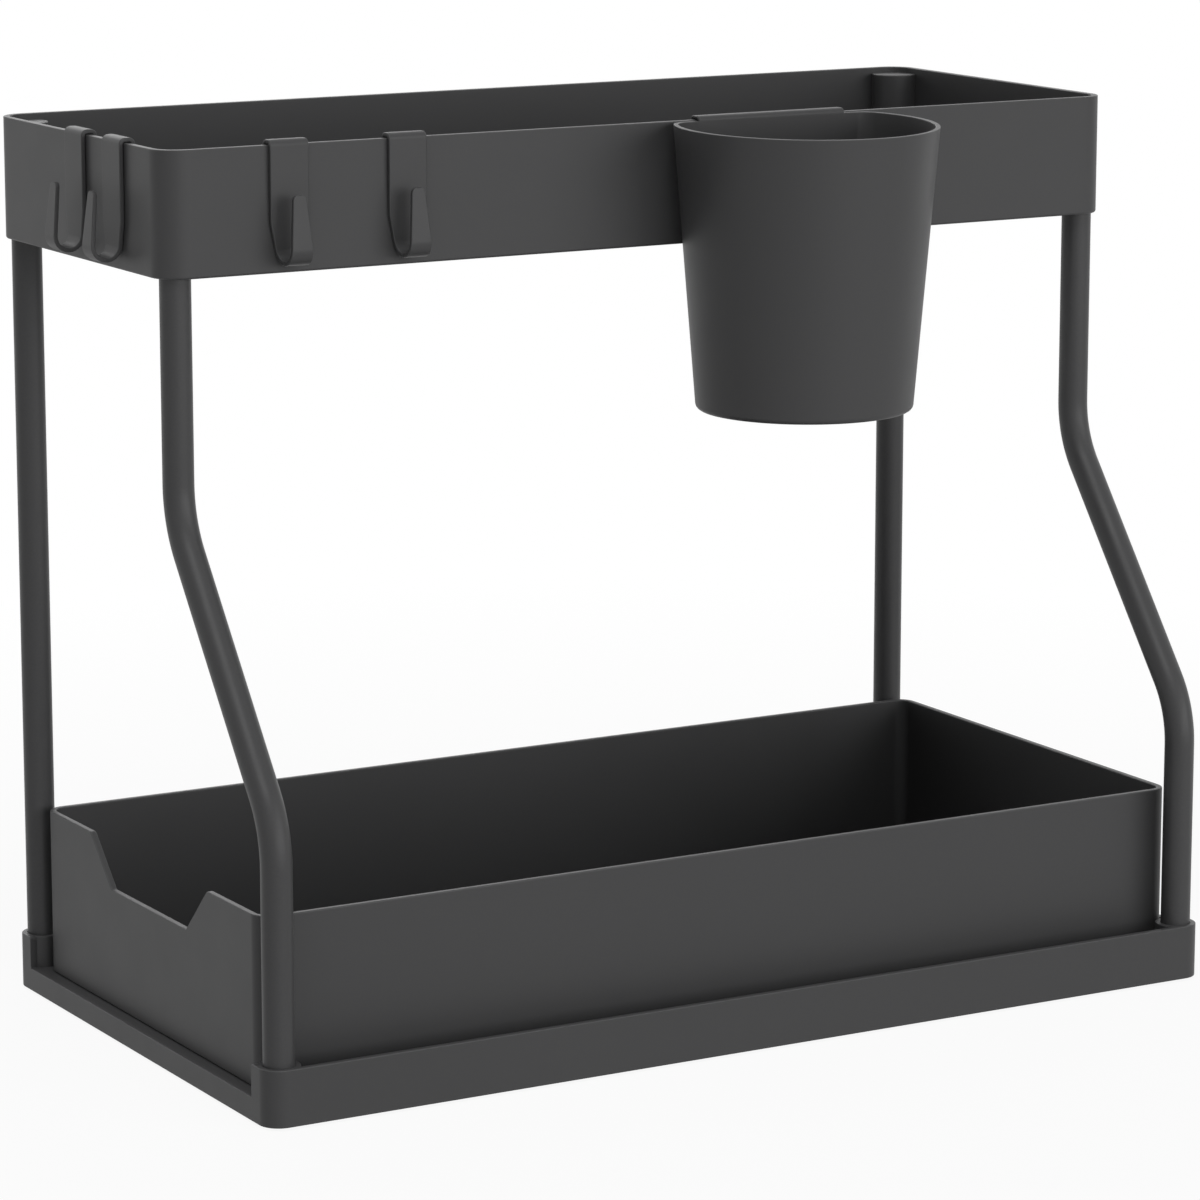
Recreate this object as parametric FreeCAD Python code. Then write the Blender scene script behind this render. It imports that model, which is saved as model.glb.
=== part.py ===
"""Two-tier under sink organizer: base, pull-out drawer, set-back upper tray, hooks and a hanging cup.

Millimetres, +X along the length, -Y to the front, +Z up. The origin is on the floor under the
middle of the base. The drawer pulls out towards -X.
"""
import FreeCAD
import Part

import math
import os

Vector = FreeCAD.Vector

# Base: a deck with a skirt below it and walls above it
BASE_LENGTH = 400.0
BASE_DEPTH = 220.0
BASE_RIM_HEIGHT = 20.8
BASE_END_DROP = 2.8
BASE_WALL = 2.5
BASE_RIM_FILLET = 0.8
DECK_HEIGHT = 8.7
DECK_THICKNESS = 2.5
RIB_THICKNESS = 1.8
RIB_RAISE = 0.8
LONG_RIB_COUNT = 5
CROSS_RIB_COUNT = 9

# Rubber foot pads in seats under the deck
FOOT_STAND = 0.8
FOOT_RADIUS = 7.0
FOOT_THICKNESS = 2.2
FOOT_SEAT_CLEARANCE = 0.1
FOOT_SEAT_WALL = 1.8
FOOT_INSET_X = 34.0
FOOT_INSET_Y = 24.0

# Posts: round steel tube, plugged into a socket in each corner of the base and of the upper tray
TUBE_RADIUS = 5.65
TUBE_WALL = 1.0
SOCKET_CLEARANCE = 0.15
BASE_SOCKET_WALL = 2.0
BASE_SOCKET_FLOOR = 3.0
BEND_RADIUS = 40.0
LOWER_BEND_HEIGHT = 104.7
UPPER_BEND_HEIGHT = 201.0

# Pieces in the tube ends
PLUG_CLEARANCE = 0.05
CAP_FLANGE = 1.2
CAP_STEM = 10.0
INSERT_LENGTH = 14.0
SCREW_RADIUS = 2.0
SCREW_ENGAGEMENT = 10.0
SCREW_HEAD_RADIUS = 3.8
SCREW_HEAD_HEIGHT = 2.0
SCREW_HEAD_SINK = 0.4
SCREW_HOLE_CLEARANCE = 0.2
SCREW_SLOT_WIDTH = 0.9
SCREW_SLOT_LENGTH = 4.4
SCREW_SLOT_DEPTH = 1.1

# Drawer: open box that slides between the posts on the deck
DRAWER_POST_GAP = 3.8
DRAWER_PASS_GAP = 3.25
DRAWER_STOP_GAP = 2.5
DRAWER_LIP_SETBACK = 5.6
DRAWER_RUN_GAP = 0.3
DRAWER_HEIGHT = 62.1
DRAWER_WALL = 2.4
DRAWER_FLOOR = 2.4
DRAWER_CORNER = 7.0
DRAWER_RIM_FILLET = 0.8
DRAWER_FOOT_FILLET = 1.5
SKID_HEIGHT = 0.5
SKID_WIDTH = 4.0
SKID_INSET = 14.0
GUIDE_GAP = 0.8
GUIDE_THICKNESS = 2.0
GUIDE_HEIGHT = 4.0
GUIDE_SETBACK = 24.0
NOTCH_TOP_WIDTH = 100.4
NOTCH_BOTTOM_WIDTH = 64.2
NOTCH_DEPTH = 18.2
NOTCH_CORNER = 2.0
NOTCH_SHOULDER = 2.6

# Upper tray
TRAY_BOTTOM = 287.8
TRAY_HEIGHT = 45.4
TRAY_DEPTH = 146.5
TRAY_OVERHANG = 0.5
TRAY_WALL = 2.5
TRAY_FLOOR = 2.5
TRAY_CORNER = 10.5
TRAY_RIM_FILLET = 0.8
TRAY_FOOT_FILLET = 1.0
TRAY_SOCKET_WALL = 3.2
TRAY_SOCKET_TOP = 3.5
TRAY_BOSS_DROP = 2.2

# Hooks: bent strips that hang over the upper tray's rim
HANG_CLEARANCE = 0.3
HOOK_THICKNESS = 1.6
HOOK_WIDTH = 15.0
HOOK_TOP_BEND = 1.5
HOOK_INNER_LEG = 14.0
HOOK_DROP = 42.2
HOOK_BEND = 4.95
HOOK_TONGUE = 19.0
HOOK_LEAN = 6.0
HOOK_NECK_HEIGHT = 14.0
HOOK_FOOT_WIDTH = 9.0
HOOK_TIP_WIDTH = 5.0
HOOK_TIP_ROUNDING = 0.4
FRONT_HOOK_LEFT = 48.5
FRONT_HOOK_RIGHT = 95.4
SIDE_HOOK_FRONT = 38.4
SIDE_HOOK_REAR = 71.0

# Hanging cup: tapered round cup with a flat back, its height and its rim's drop measured there
CUP_OFFSET = 46.8
CUP_RIM_RADIUS = 49.0
CUP_BOTTOM_RADIUS = 40.2
CUP_AXIS_DISTANCE = 25.5
CUP_HEIGHT = 105.7
CUP_RIM_DROP = 0.3
CUP_RIM_LEAN = 1.1
CUP_WALL = 1.8
CUP_FLOOR = 2.0
CUP_CORNER = 9.0
CUP_FOOT_FILLET = 2.0
CUP_RIM_FILLET = 0.7
HANGER_WIDTH = 63.2
HANGER_THICKNESS = 1.2
HANGER_BEND = 1.2
HANGER_LEG = 14.0

# How far a cutting block runs past the face it opens, and how close two places count as the same
OVERCUT = 1.0
SAME_PLACE = 1e-6

# Levels and places worked out from the sizes above
SKIRT_Z = FOOT_STAND
DECK_Z = SKIRT_Z + DECK_HEIGHT
DECK_UNDER_Z = DECK_Z - DECK_THICKNESS
BASE_RIM_Z = SKIRT_Z + BASE_RIM_HEIGHT
SCREW_SEAT_Z = SKIRT_Z + SCREW_HEAD_SINK + SCREW_HEAD_HEIGHT
POST_FOOT_Z = SCREW_SEAT_Z + BASE_SOCKET_FLOOR
TRAY_Z = SKIRT_Z + TRAY_BOTTOM
TRAY_RIM_Z = TRAY_Z + TRAY_HEIGHT
TRAY_BOSS_Z = TRAY_RIM_Z - TRAY_BOSS_DROP
POST_CAP_Z = TRAY_BOSS_Z - TRAY_SOCKET_TOP
POST_HEAD_Z = POST_CAP_Z - CAP_FLANGE

SOCKET_RADIUS = TUBE_RADIUS + SOCKET_CLEARANCE
BORE_RADIUS = TUBE_RADIUS - TUBE_WALL
BASE_BOSS_RADIUS = SOCKET_RADIUS + BASE_SOCKET_WALL
TRAY_BOSS_RADIUS = SOCKET_RADIUS + TRAY_SOCKET_WALL

BASE_X = BASE_LENGTH / 2
BASE_Y = BASE_DEPTH / 2
POST_X = BASE_X - BASE_BOSS_RADIUS
POST_Y = BASE_Y - BASE_BOSS_RADIUS
TRAY_X = BASE_X + TRAY_OVERHANG
TRAY_BACK_Y = BASE_Y + TRAY_OVERHANG
TRAY_FRONT_Y = TRAY_BACK_Y - TRAY_DEPTH
UPPER_POST_Y = TRAY_FRONT_Y + BASE_BOSS_RADIUS + TRAY_OVERHANG

DRAWER_LEFT_X = -BASE_X + DRAWER_LIP_SETBACK
DRAWER_RIGHT_X = BASE_X - BASE_WALL - DRAWER_STOP_GAP
DRAWER_Y = POST_Y - TUBE_RADIUS - DRAWER_POST_GAP
DRAWER_Z = DECK_Z + DRAWER_RUN_GAP + SKID_HEIGHT
DRAWER_RIM_Z = DRAWER_Z + DRAWER_HEIGHT

CORNERS = {
    "rear_left": (-1, 1),
    "rear_right": (1, 1),
    "front_left": (-1, -1),
    "front_right": (1, -1),
}


def box(x0, x1, y0, y1, z0, z1):
    """Return a plain box between two corners."""
    return Part.makeBox(x1 - x0, y1 - y0, z1 - z0, Vector(x0, y0, z0))


def cylinder(radius, x, y, z0, z1):
    """Return an upright cylinder."""
    return Part.makeCylinder(radius, z1 - z0, Vector(x, y, z0))


def rounded_wire(points, radii):
    """Return a closed wire through the points, each corner rounded by its radius."""
    edges = []
    spots = []
    count = len(points)
    for i in range(count):
        corner = points[i]
        before = points[i - 1] - corner
        after = points[(i + 1) % count] - corner
        before.normalize()
        after.normalize()
        half = before.getAngle(after) / 2
        reach = radii[i] / math.tan(half)
        middle = before + after
        middle.normalize()
        touch_in = corner + before * reach
        touch_out = corner + after * reach
        crown = corner + middle * (radii[i] / math.sin(half) - radii[i])
        spots.append((touch_in, crown, touch_out))
    for i in range(count):
        touch_in, crown, touch_out = spots[i]
        if radii[i] > 0:
            edges.append(Part.Arc(touch_in, crown, touch_out).toShape())
        following = spots[(i + 1) % count][0]
        if touch_out.distanceToPoint(following) > SAME_PLACE:
            edges.append(Part.LineSegment(touch_out, following).toShape())
    return Part.Wire(edges)


def rounded_prism(x0, x1, y0, y1, z0, z1, radius):
    """Return an upright block with rounded vertical edges."""
    points = [Vector(x0, y0, z0), Vector(x1, y0, z0), Vector(x1, y1, z0), Vector(x0, y1, z0)]
    face = Part.Face(rounded_wire(points, [radius] * 4))
    return face.extrude(Vector(0, 0, z1 - z0))


def fillet_at(shape, z, radius):
    """Return the shape with every edge that lies at height z rounded."""
    return shape.makeFillet(radius, [edge for edge in shape.Edges if is_level(edge, z)])


def is_level(edge, z):
    """Return whether both ends of an edge are at height z."""
    return all(abs(vertex.Z - z) < SAME_PLACE for vertex in edge.Vertexes)


def strip_section(points, bends, thickness):
    """Return the face of a bent strip, square at its ends, along a centre line with rounded corners."""
    sides = ([], [])
    last = len(points) - 1
    for i, point in enumerate(points):
        if i in (0, last):
            run = points[1] - points[0] if i == 0 else points[last] - points[last - 1]
            run.normalize()
            across = Vector(-run.y, run.x, 0) * (thickness / 2)
            sides[0].append((point + across,))
            sides[1].append((point - across,))
            continue
        inward = points[i] - points[i - 1]
        outward = points[i + 1] - points[i]
        inward.normalize()
        outward.normalize()
        turn = inward.x * outward.y - inward.y * outward.x
        reach = bends[i - 1] * math.tan(inward.getAngle(outward) / 2)
        hand = 1 if turn > 0 else -1
        start = point - inward * reach
        centre = start + Vector(-inward.y, inward.x, 0) * (hand * bends[i - 1])
        end = point + outward * reach
        crown = point - centre
        crown.normalize()
        for side, sign in ((sides[0], -hand), (sides[1], hand)):
            radius = bends[i - 1] + sign * thickness / 2
            spots = (start - centre, crown, end - centre)
            for spot in spots:
                spot.normalize()
            side.append(tuple(centre + spot * radius for spot in spots))
    edges = []
    loop = sides[0] + sides[1][::-1]
    for i, spots in enumerate(loop):
        ordered = spots if i < len(points) else spots[::-1]
        if len(ordered) == 3:
            edges.append(Part.Arc(*ordered).toShape())
        following = loop[(i + 1) % len(loop)]
        target = following[0] if (i + 1) % len(loop) < len(points) else following[-1]
        if ordered[-1].distanceToPoint(target) > SAME_PLACE:
            edges.append(Part.LineSegment(ordered[-1], target).toShape())
    return Part.Face(Part.Wire(edges))


def stood_up(face, width):
    """Return a section drawn as (distance, height), stood up and as thick as the width."""
    solid = face.extrude(Vector(0, 0, width))
    solid.translate(Vector(0, 0, -width / 2))
    solid.rotate(Vector(), Vector(1, 0, 0), 90)
    solid.rotate(Vector(), Vector(0, 0, 1), -90)
    return solid


def spread(count, low, high):
    """Return evenly spaced places between two ends, both ends left out."""
    step = (high - low) / (count + 1)
    return [low + step * (i + 1) for i in range(count)]


def foot_places():
    """Return the foot pads' centres by name: one near each corner and one under the middle."""
    places = {"middle": (0, 0)}
    for name, (sx, sy) in CORNERS.items():
        places[name] = (sx * (BASE_X - FOOT_INSET_X), sy * (BASE_Y - FOOT_INSET_Y))
    return places


def base_tray():
    """Return the base: deck, skirt, walls, ribs, drawer guides, foot seats and post sockets."""
    inner_x = BASE_X - BASE_WALL
    inner_y = BASE_Y - BASE_WALL
    inner_corner = BASE_BOSS_RADIUS - BASE_WALL
    above = BASE_RIM_Z + OVERCUT
    below = SKIRT_Z - OVERCUT
    block = rounded_prism(-BASE_X, BASE_X, -BASE_Y, BASE_Y, SKIRT_Z, BASE_RIM_Z, BASE_BOSS_RADIUS)
    trough = rounded_prism(-inner_x, inner_x, -inner_y, inner_y, DECK_Z, above, inner_corner)
    hollow = rounded_prism(-inner_x, inner_x, -inner_y, inner_y, below, DECK_UNDER_Z, inner_corner)
    pass_y = DRAWER_Y + DRAWER_PASS_GAP
    outer_x = BASE_X + OVERCUT
    pull_side = box(-outer_x, -inner_x, -pass_y, pass_y, DECK_Z, above)
    stop_side = box(inner_x, outer_x, -pass_y, pass_y, BASE_RIM_Z - BASE_END_DROP, above)
    body = block.cut([trough, hollow, pull_side, stop_side])

    additions = []
    rib_z = SKIRT_Z + RIB_RAISE
    half_rib = RIB_THICKNESS / 2
    for y in spread(LONG_RIB_COUNT, -inner_y, inner_y):
        additions.append(box(-inner_x, inner_x, y - half_rib, y + half_rib, rib_z, DECK_UNDER_Z))
    for x in spread(CROSS_RIB_COUNT, -inner_x, inner_x):
        additions.append(box(x - half_rib, x + half_rib, -inner_y, inner_y, rib_z, DECK_UNDER_Z))
    guide_y = DRAWER_Y + GUIDE_GAP
    for side in (-1, 1):
        near, far = sorted((side * guide_y, side * (guide_y + GUIDE_THICKNESS)))
        guide_end = BASE_X - GUIDE_SETBACK
        additions.append(box(-guide_end, guide_end, near, far, DECK_Z, DECK_Z + GUIDE_HEIGHT))
    seat_radius = FOOT_RADIUS + FOOT_SEAT_CLEARANCE
    for x, y in foot_places().values():
        additions.append(cylinder(seat_radius + FOOT_SEAT_WALL, x, y, SKIRT_Z, DECK_UNDER_Z))
    for sx, sy in CORNERS.values():
        additions.append(cylinder(BASE_BOSS_RADIUS, sx * POST_X, sy * POST_Y, SKIRT_Z, BASE_RIM_Z))
    body = body.fuse(additions).removeSplitter()

    openings = []
    for x, y in foot_places().values():
        openings.append(cylinder(seat_radius, x, y, below, FOOT_THICKNESS))
    head_radius = SCREW_HEAD_RADIUS + SCREW_HOLE_CLEARANCE
    for sx, sy in CORNERS.values():
        x, y = sx * POST_X, sy * POST_Y
        openings.append(cylinder(SOCKET_RADIUS, x, y, POST_FOOT_Z, above))
        openings.append(cylinder(SCREW_RADIUS + SCREW_HOLE_CLEARANCE, x, y, SKIRT_Z, above))
        openings.append(cylinder(head_radius, x, y, below, SCREW_SEAT_Z))
    body = body.cut(openings).removeSplitter()
    outline = [edge for edge in body.Edges if on_base_outline(edge)]
    return body.makeFillet(BASE_RIM_FILLET, outline)


def on_base_outline(edge):
    """Return whether an edge runs along the outer top of the base's walls."""
    middle = edge.valueAt((edge.FirstParameter + edge.LastParameter) / 2)
    reach_x = max(abs(middle.x) - POST_X, 0)
    reach_y = max(abs(middle.y) - POST_Y, 0)
    outer = abs(math.hypot(reach_x, reach_y) - BASE_BOSS_RADIUS) < SAME_PLACE
    return outer and is_level(edge, BASE_RIM_Z)


def upper_tray():
    """Return the upper tray: floor, walls and a closed socket boss over each post."""
    shape = (-TRAY_X, TRAY_X, TRAY_FRONT_Y, TRAY_BACK_Y)
    block = rounded_prism(*shape, TRAY_Z, TRAY_RIM_Z, TRAY_CORNER)
    cavity = inset_prism(shape, TRAY_WALL, TRAY_Z + TRAY_FLOOR, TRAY_RIM_Z + OVERCUT)
    shell = block.cut(cavity)
    shell = fillet_at(shell, TRAY_RIM_Z, TRAY_RIM_FILLET)
    shell = fillet_at(shell, TRAY_Z, TRAY_FOOT_FILLET)
    reach = inset_prism(shape, TRAY_WALL / 2, TRAY_Z + TRAY_FLOOR / 2, TRAY_BOSS_Z)
    bosses = []
    sockets = []
    for name in CORNERS:
        x, y = post_head_place(name)
        boss = cylinder(TRAY_BOSS_RADIUS, x, y, TRAY_Z + TRAY_FLOOR / 2, TRAY_BOSS_Z)
        bosses.append(boss.common(reach))
        sockets.append(cylinder(SOCKET_RADIUS, x, y, TRAY_Z - OVERCUT, POST_CAP_Z))
    return shell.fuse(bosses).removeSplitter().cut(sockets)


def inset_prism(shape, inset, z0, z1):
    """Return the upper tray's outline drawn in by the inset, as an upright block."""
    x0, x1, y0, y1 = shape
    return rounded_prism(x0 + inset, x1 - inset, y0 + inset, y1 - inset, z0, z1, TRAY_CORNER - inset)


def post_head_place(name):
    """Return where a post's axis enters the upper tray."""
    sx, sy = CORNERS[name]
    return sx * POST_X, (POST_Y if sy > 0 else UPPER_POST_Y)


def drawer():
    """Return the drawer: open box with skids below and a finger notch in its pull end."""
    shape = (DRAWER_LEFT_X, DRAWER_RIGHT_X, -DRAWER_Y, DRAWER_Y)
    block = rounded_prism(*shape, DRAWER_Z, DRAWER_RIM_Z, DRAWER_CORNER)
    x0, x1, y0, y1 = shape
    wall = DRAWER_WALL
    floor_z = DRAWER_Z + DRAWER_FLOOR
    above = DRAWER_RIM_Z + OVERCUT
    inner_corner = DRAWER_CORNER - wall
    cavity = rounded_prism(x0 + wall, x1 - wall, y0 + wall, y1 - wall, floor_z, above, inner_corner)
    body = block.cut([cavity, drawer_notch()])
    rim = [edge for edge in body.Edges if on_drawer_rim(edge)]
    body = fillet_at(body.makeFillet(DRAWER_RIM_FILLET, rim), DRAWER_Z, DRAWER_FOOT_FILLET)
    skids = []
    skid_x0 = x0 + DRAWER_CORNER
    skid_x1 = x1 - DRAWER_CORNER
    skid_z = DRAWER_Z - SKID_HEIGHT
    half_skid = SKID_WIDTH / 2
    for side in (-1, 1):
        middle = side * (DRAWER_Y - SKID_INSET)
        skids.append(box(skid_x0, skid_x1, middle - half_skid, middle + half_skid, skid_z, floor_z))
    return body.fuse(skids).removeSplitter()


def drawer_notch():
    """Return the block that cuts the finger notch."""
    bottom = NOTCH_BOTTOM_WIDTH / 2
    top = NOTCH_TOP_WIDTH / 2
    slope = math.atan2(NOTCH_DEPTH, top - bottom)
    end = top + NOTCH_SHOULDER * math.tan(slope / 2)
    half = [
        (bottom, DRAWER_RIM_Z - NOTCH_DEPTH),
        (top, DRAWER_RIM_Z),
        (end, DRAWER_RIM_Z),
        (end, DRAWER_RIM_Z + OVERCUT),
    ]
    radii = [NOTCH_CORNER, NOTCH_SHOULDER, 0, 0]
    x = DRAWER_LEFT_X - OVERCUT
    points = [Vector(x, y, z) for y, z in half + [(-y, z) for y, z in half[::-1]]]
    face = Part.Face(rounded_wire(points, radii + radii[::-1]))
    return face.extrude(Vector(DRAWER_WALL + 2 * OVERCUT, 0, 0))


def on_drawer_rim(edge):
    """Return whether an edge runs along the drawer's rim, round the finger notch as well."""
    low_z = DRAWER_RIM_Z - NOTCH_DEPTH - SAME_PLACE
    middle = edge.valueAt((edge.FirstParameter + edge.LastParameter) / 2)
    across_wall = abs(middle.x - DRAWER_LEFT_X - DRAWER_WALL / 2) < SAME_PLACE
    return not across_wall and all(vertex.Z > low_z for vertex in edge.Vertexes)


def post_path(name):
    """Return a post's axis, straight at the rear and with two bends at the front."""
    sx, sy = CORNERS[name]
    x = sx * POST_X
    foot = Vector(x, sy * POST_Y, POST_FOOT_Z)
    if sy > 0:
        return Part.Wire([Part.LineSegment(foot, Vector(x, foot.y, POST_HEAD_Z)).toShape()])
    head = Vector(x, UPPER_POST_Y, POST_HEAD_Z)
    low = Vector(x, foot.y, SKIRT_Z + LOWER_BEND_HEIGHT)
    high = Vector(x, head.y, SKIRT_Z + UPPER_BEND_HEIGHT)
    edges = []
    start = foot
    for before, corner, after in ((foot, low, high), (low, high, head)):
        arriving = corner - before
        leaving = after - corner
        arriving.normalize()
        leaving.normalize()
        half = arriving.getAngle(leaving) / 2
        reach = BEND_RADIUS * math.tan(half)
        side = leaving - arriving
        side.normalize()
        crown = corner + side * (BEND_RADIUS / math.cos(half) - BEND_RADIUS)
        touch_in = corner - arriving * reach
        touch_out = corner + leaving * reach
        edges.append(Part.LineSegment(start, touch_in).toShape())
        edges.append(Part.Arc(touch_in, crown, touch_out).toShape())
        start = touch_out
    edges.append(Part.LineSegment(start, head).toShape())
    return Part.Wire(edges)


def post(name):
    """Return one tube, from its seat in the base to the cap at its top."""
    path = post_path(name)
    foot = path.Vertexes[0].Point
    rods = []
    for radius in (TUBE_RADIUS, BORE_RADIUS):
        ring = Part.Wire([Part.makeCircle(radius, foot, Vector(0, 0, 1))])
        rods.append(path.makePipeShell([ring], True, False))
    return rods[0].cut(rods[1])


def post_cap(name):
    """Return the plastic cap that closes a tube's top."""
    x, y = post_head_place(name)
    flange = cylinder(TUBE_RADIUS, x, y, POST_HEAD_Z, POST_CAP_Z)
    stem = cylinder(BORE_RADIUS - PLUG_CLEARANCE, x, y, POST_HEAD_Z - CAP_STEM, POST_HEAD_Z)
    return flange.fuse(stem).removeSplitter()


def post_insert(name):
    """Return the threaded insert in a tube's lower end."""
    sx, sy = CORNERS[name]
    x, y = sx * POST_X, sy * POST_Y
    top_z = POST_FOOT_Z + INSERT_LENGTH
    bush = cylinder(BORE_RADIUS - PLUG_CLEARANCE, x, y, POST_FOOT_Z, top_z)
    hole_radius = SCREW_RADIUS + PLUG_CLEARANCE
    return bush.cut(cylinder(hole_radius, x, y, POST_FOOT_Z - OVERCUT, top_z + OVERCUT))


def base_screw(name):
    """Return a cross-slot screw, driven upwards through the base into a post's insert."""
    sx, sy = CORNERS[name]
    x, y = sx * POST_X, sy * POST_Y
    head_z = SCREW_SEAT_Z - SCREW_HEAD_HEIGHT
    tip_z = POST_FOOT_Z + SCREW_ENGAGEMENT
    head = cylinder(SCREW_HEAD_RADIUS, x, y, head_z, SCREW_SEAT_Z)
    shank = cylinder(SCREW_RADIUS, x, y, head_z, tip_z - SCREW_RADIUS)
    tip = Part.makeCone(SCREW_RADIUS, SCREW_RADIUS / 2, SCREW_RADIUS, Vector(x, y, tip_z - SCREW_RADIUS))
    half_width = SCREW_SLOT_WIDTH / 2
    half_length = SCREW_SLOT_LENGTH / 2
    slot_z = head_z + SCREW_SLOT_DEPTH
    open_z = head_z - OVERCUT
    slots = [
        box(x - half_length, x + half_length, y - half_width, y + half_width, open_z, slot_z),
        box(x - half_width, x + half_width, y - half_length, y + half_length, open_z, slot_z),
    ]
    return head.fuse([shank, tip]).removeSplitter().cut(slots)


def foot_pad(name):
    """Return a rubber pad in its seat under the base."""
    x, y = foot_places()[name]
    return cylinder(FOOT_RADIUS, x, y, 0, FOOT_THICKNESS)


def hook():
    """Return a hook over a rim along X, whose outer wall face is at y = 0, at the rim's height.

    The strip runs down the inside, over the rim, down the outside and up again as a narrow tongue.
    """
    stand_off = HANG_CLEARANCE + HOOK_THICKNESS / 2
    outside = stand_off
    inside = -TRAY_WALL - stand_off
    top = stand_off
    low = -HOOK_DROP + HOOK_THICKNESS / 2
    lean = math.radians(HOOK_LEAN)
    first_reach = HOOK_BEND
    second_reach = HOOK_BEND * math.tan((math.pi / 2 + lean) / 2)
    toe = outside + first_reach + second_reach
    length = second_reach + HOOK_TONGUE
    points = [
        Vector(inside, top - HOOK_INNER_LEG, 0),
        Vector(inside, top, 0),
        Vector(outside, top, 0),
        Vector(outside, low, 0),
        Vector(toe, low, 0),
        Vector(toe - math.sin(lean) * length, low + math.cos(lean) * length, 0),
    ]
    bends = [HOOK_TOP_BEND, HOOK_TOP_BEND, HOOK_BEND, HOOK_BEND]
    ribbon = stood_up(strip_section(points, bends, HOOK_THICKNESS), HOOK_WIDTH)
    middle = -(outside + HOOK_BEND)
    floor_z = low - HOOK_THICKNESS
    tip_z = points[-1].y + HOOK_THICKNESS
    back = hook_outline(floor_z, top + HOOK_THICKNESS, low, middle, TRAY_WALL + HOOK_WIDTH)
    front = tongue_outline(floor_z, tip_z, low, middle - 2 * HOOK_WIDTH, middle)
    return ribbon.common(back).fuse(ribbon.common(front)).removeSplitter()


def hook_outline(floor_z, top_z, low_z, y0, y1):
    """Return the block that gives the strip behind the bend its outline, drawn in towards the bend."""
    neck_z = low_z + HOOK_NECK_HEIGHT
    half = HOOK_WIDTH / 2
    foot = HOOK_FOOT_WIDTH / 2
    right = [(foot, floor_z), (half, neck_z), (half, top_z)]
    points = right + [(-x, z) for x, z in right[::-1]]
    wire = Part.makePolygon([Vector(x, y0, z) for x, z in points + points[:1]])
    return Part.Face(wire).extrude(Vector(0, y1 - y0, 0))


def tongue_outline(floor_z, tip_z, low_z, y0, y1):
    """Return the block that gives the tongue its outline, tapered to a round tip."""
    foot = HOOK_FOOT_WIDTH / 2
    tip = HOOK_TIP_WIDTH / 2
    right = [(foot, floor_z), (foot, low_z), (tip, tip_z)]
    corners = [Vector(x, y0, z) for x, z in right + [(-x, z) for x, z in right[::-1]]]
    rounding = HOOK_TIP_WIDTH * HOOK_TIP_ROUNDING
    face = Part.Face(rounded_wire(corners, [0, 0, rounding, rounding, 0, 0]))
    return face.extrude(Vector(0, y1 - y0, 0))


def front_hook(distance):
    """Return a hook on the front rim, at a distance from the tray's left end."""
    piece = hook()
    piece.translate(Vector(-TRAY_X + distance, TRAY_FRONT_Y, TRAY_RIM_Z))
    return piece


def side_hook(distance):
    """Return a hook on the left rim, at a distance from the tray's front."""
    piece = hook()
    piece.rotate(Vector(), Vector(0, 0, 1), -90)
    piece.translate(Vector(-TRAY_X, TRAY_FRONT_Y + distance, TRAY_RIM_Z))
    return piece


def cup_profile(radius, back_y, corner, z):
    """Return a circle about the cup's axis with a flat back and rounded back corners, as a wire."""
    axis_y = -CUP_AXIS_DISTANCE - HANG_CLEARANCE
    inner = radius - corner
    drop = back_y - corner - axis_y
    across = math.sqrt(inner * inner - drop * drop)
    angle = math.atan2(drop, across)
    flat = Vector(across, back_y, z)
    rim = Vector(math.cos(angle) * radius, axis_y + math.sin(angle) * radius, z)
    bisector = (math.pi / 2 + angle) / 2
    centre = Vector(across, back_y - corner, z)
    crown = centre + Vector(math.cos(bisector), math.sin(bisector), 0) * corner
    mirror = FreeCAD.Matrix()
    mirror.A11 = -1
    flat_left, rim_left, crown_left = [mirror.multVec(v) for v in (flat, rim, crown)]
    front = Vector(0, axis_y - radius, z)
    return Part.Wire([
        Part.Arc(rim_left, front, rim).toShape(),
        Part.Arc(rim, crown, flat).toShape(),
        Part.LineSegment(flat, flat_left).toShape(),
        Part.Arc(flat_left, crown_left, rim_left).toShape(),
    ])


def leaning(wire, z):
    """Return a level wire of the cup, turned about its back at height z so that its front is lower."""
    wire.rotate(Vector(0, -HANG_CLEARANCE, z), Vector(1, 0, 0), CUP_RIM_LEAN)
    return wire


def on_cup_rim(edge, rim_z):
    """Return whether both ends of an edge are in the leaning plane of the cup's rim."""
    slope = math.tan(math.radians(CUP_RIM_LEAN))
    levels = [rim_z + slope * (vertex.Y + HANG_CLEARANCE) for vertex in edge.Vertexes]
    return all(abs(vertex.Z - z) < SAME_PLACE for vertex, z in zip(edge.Vertexes, levels))


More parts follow.
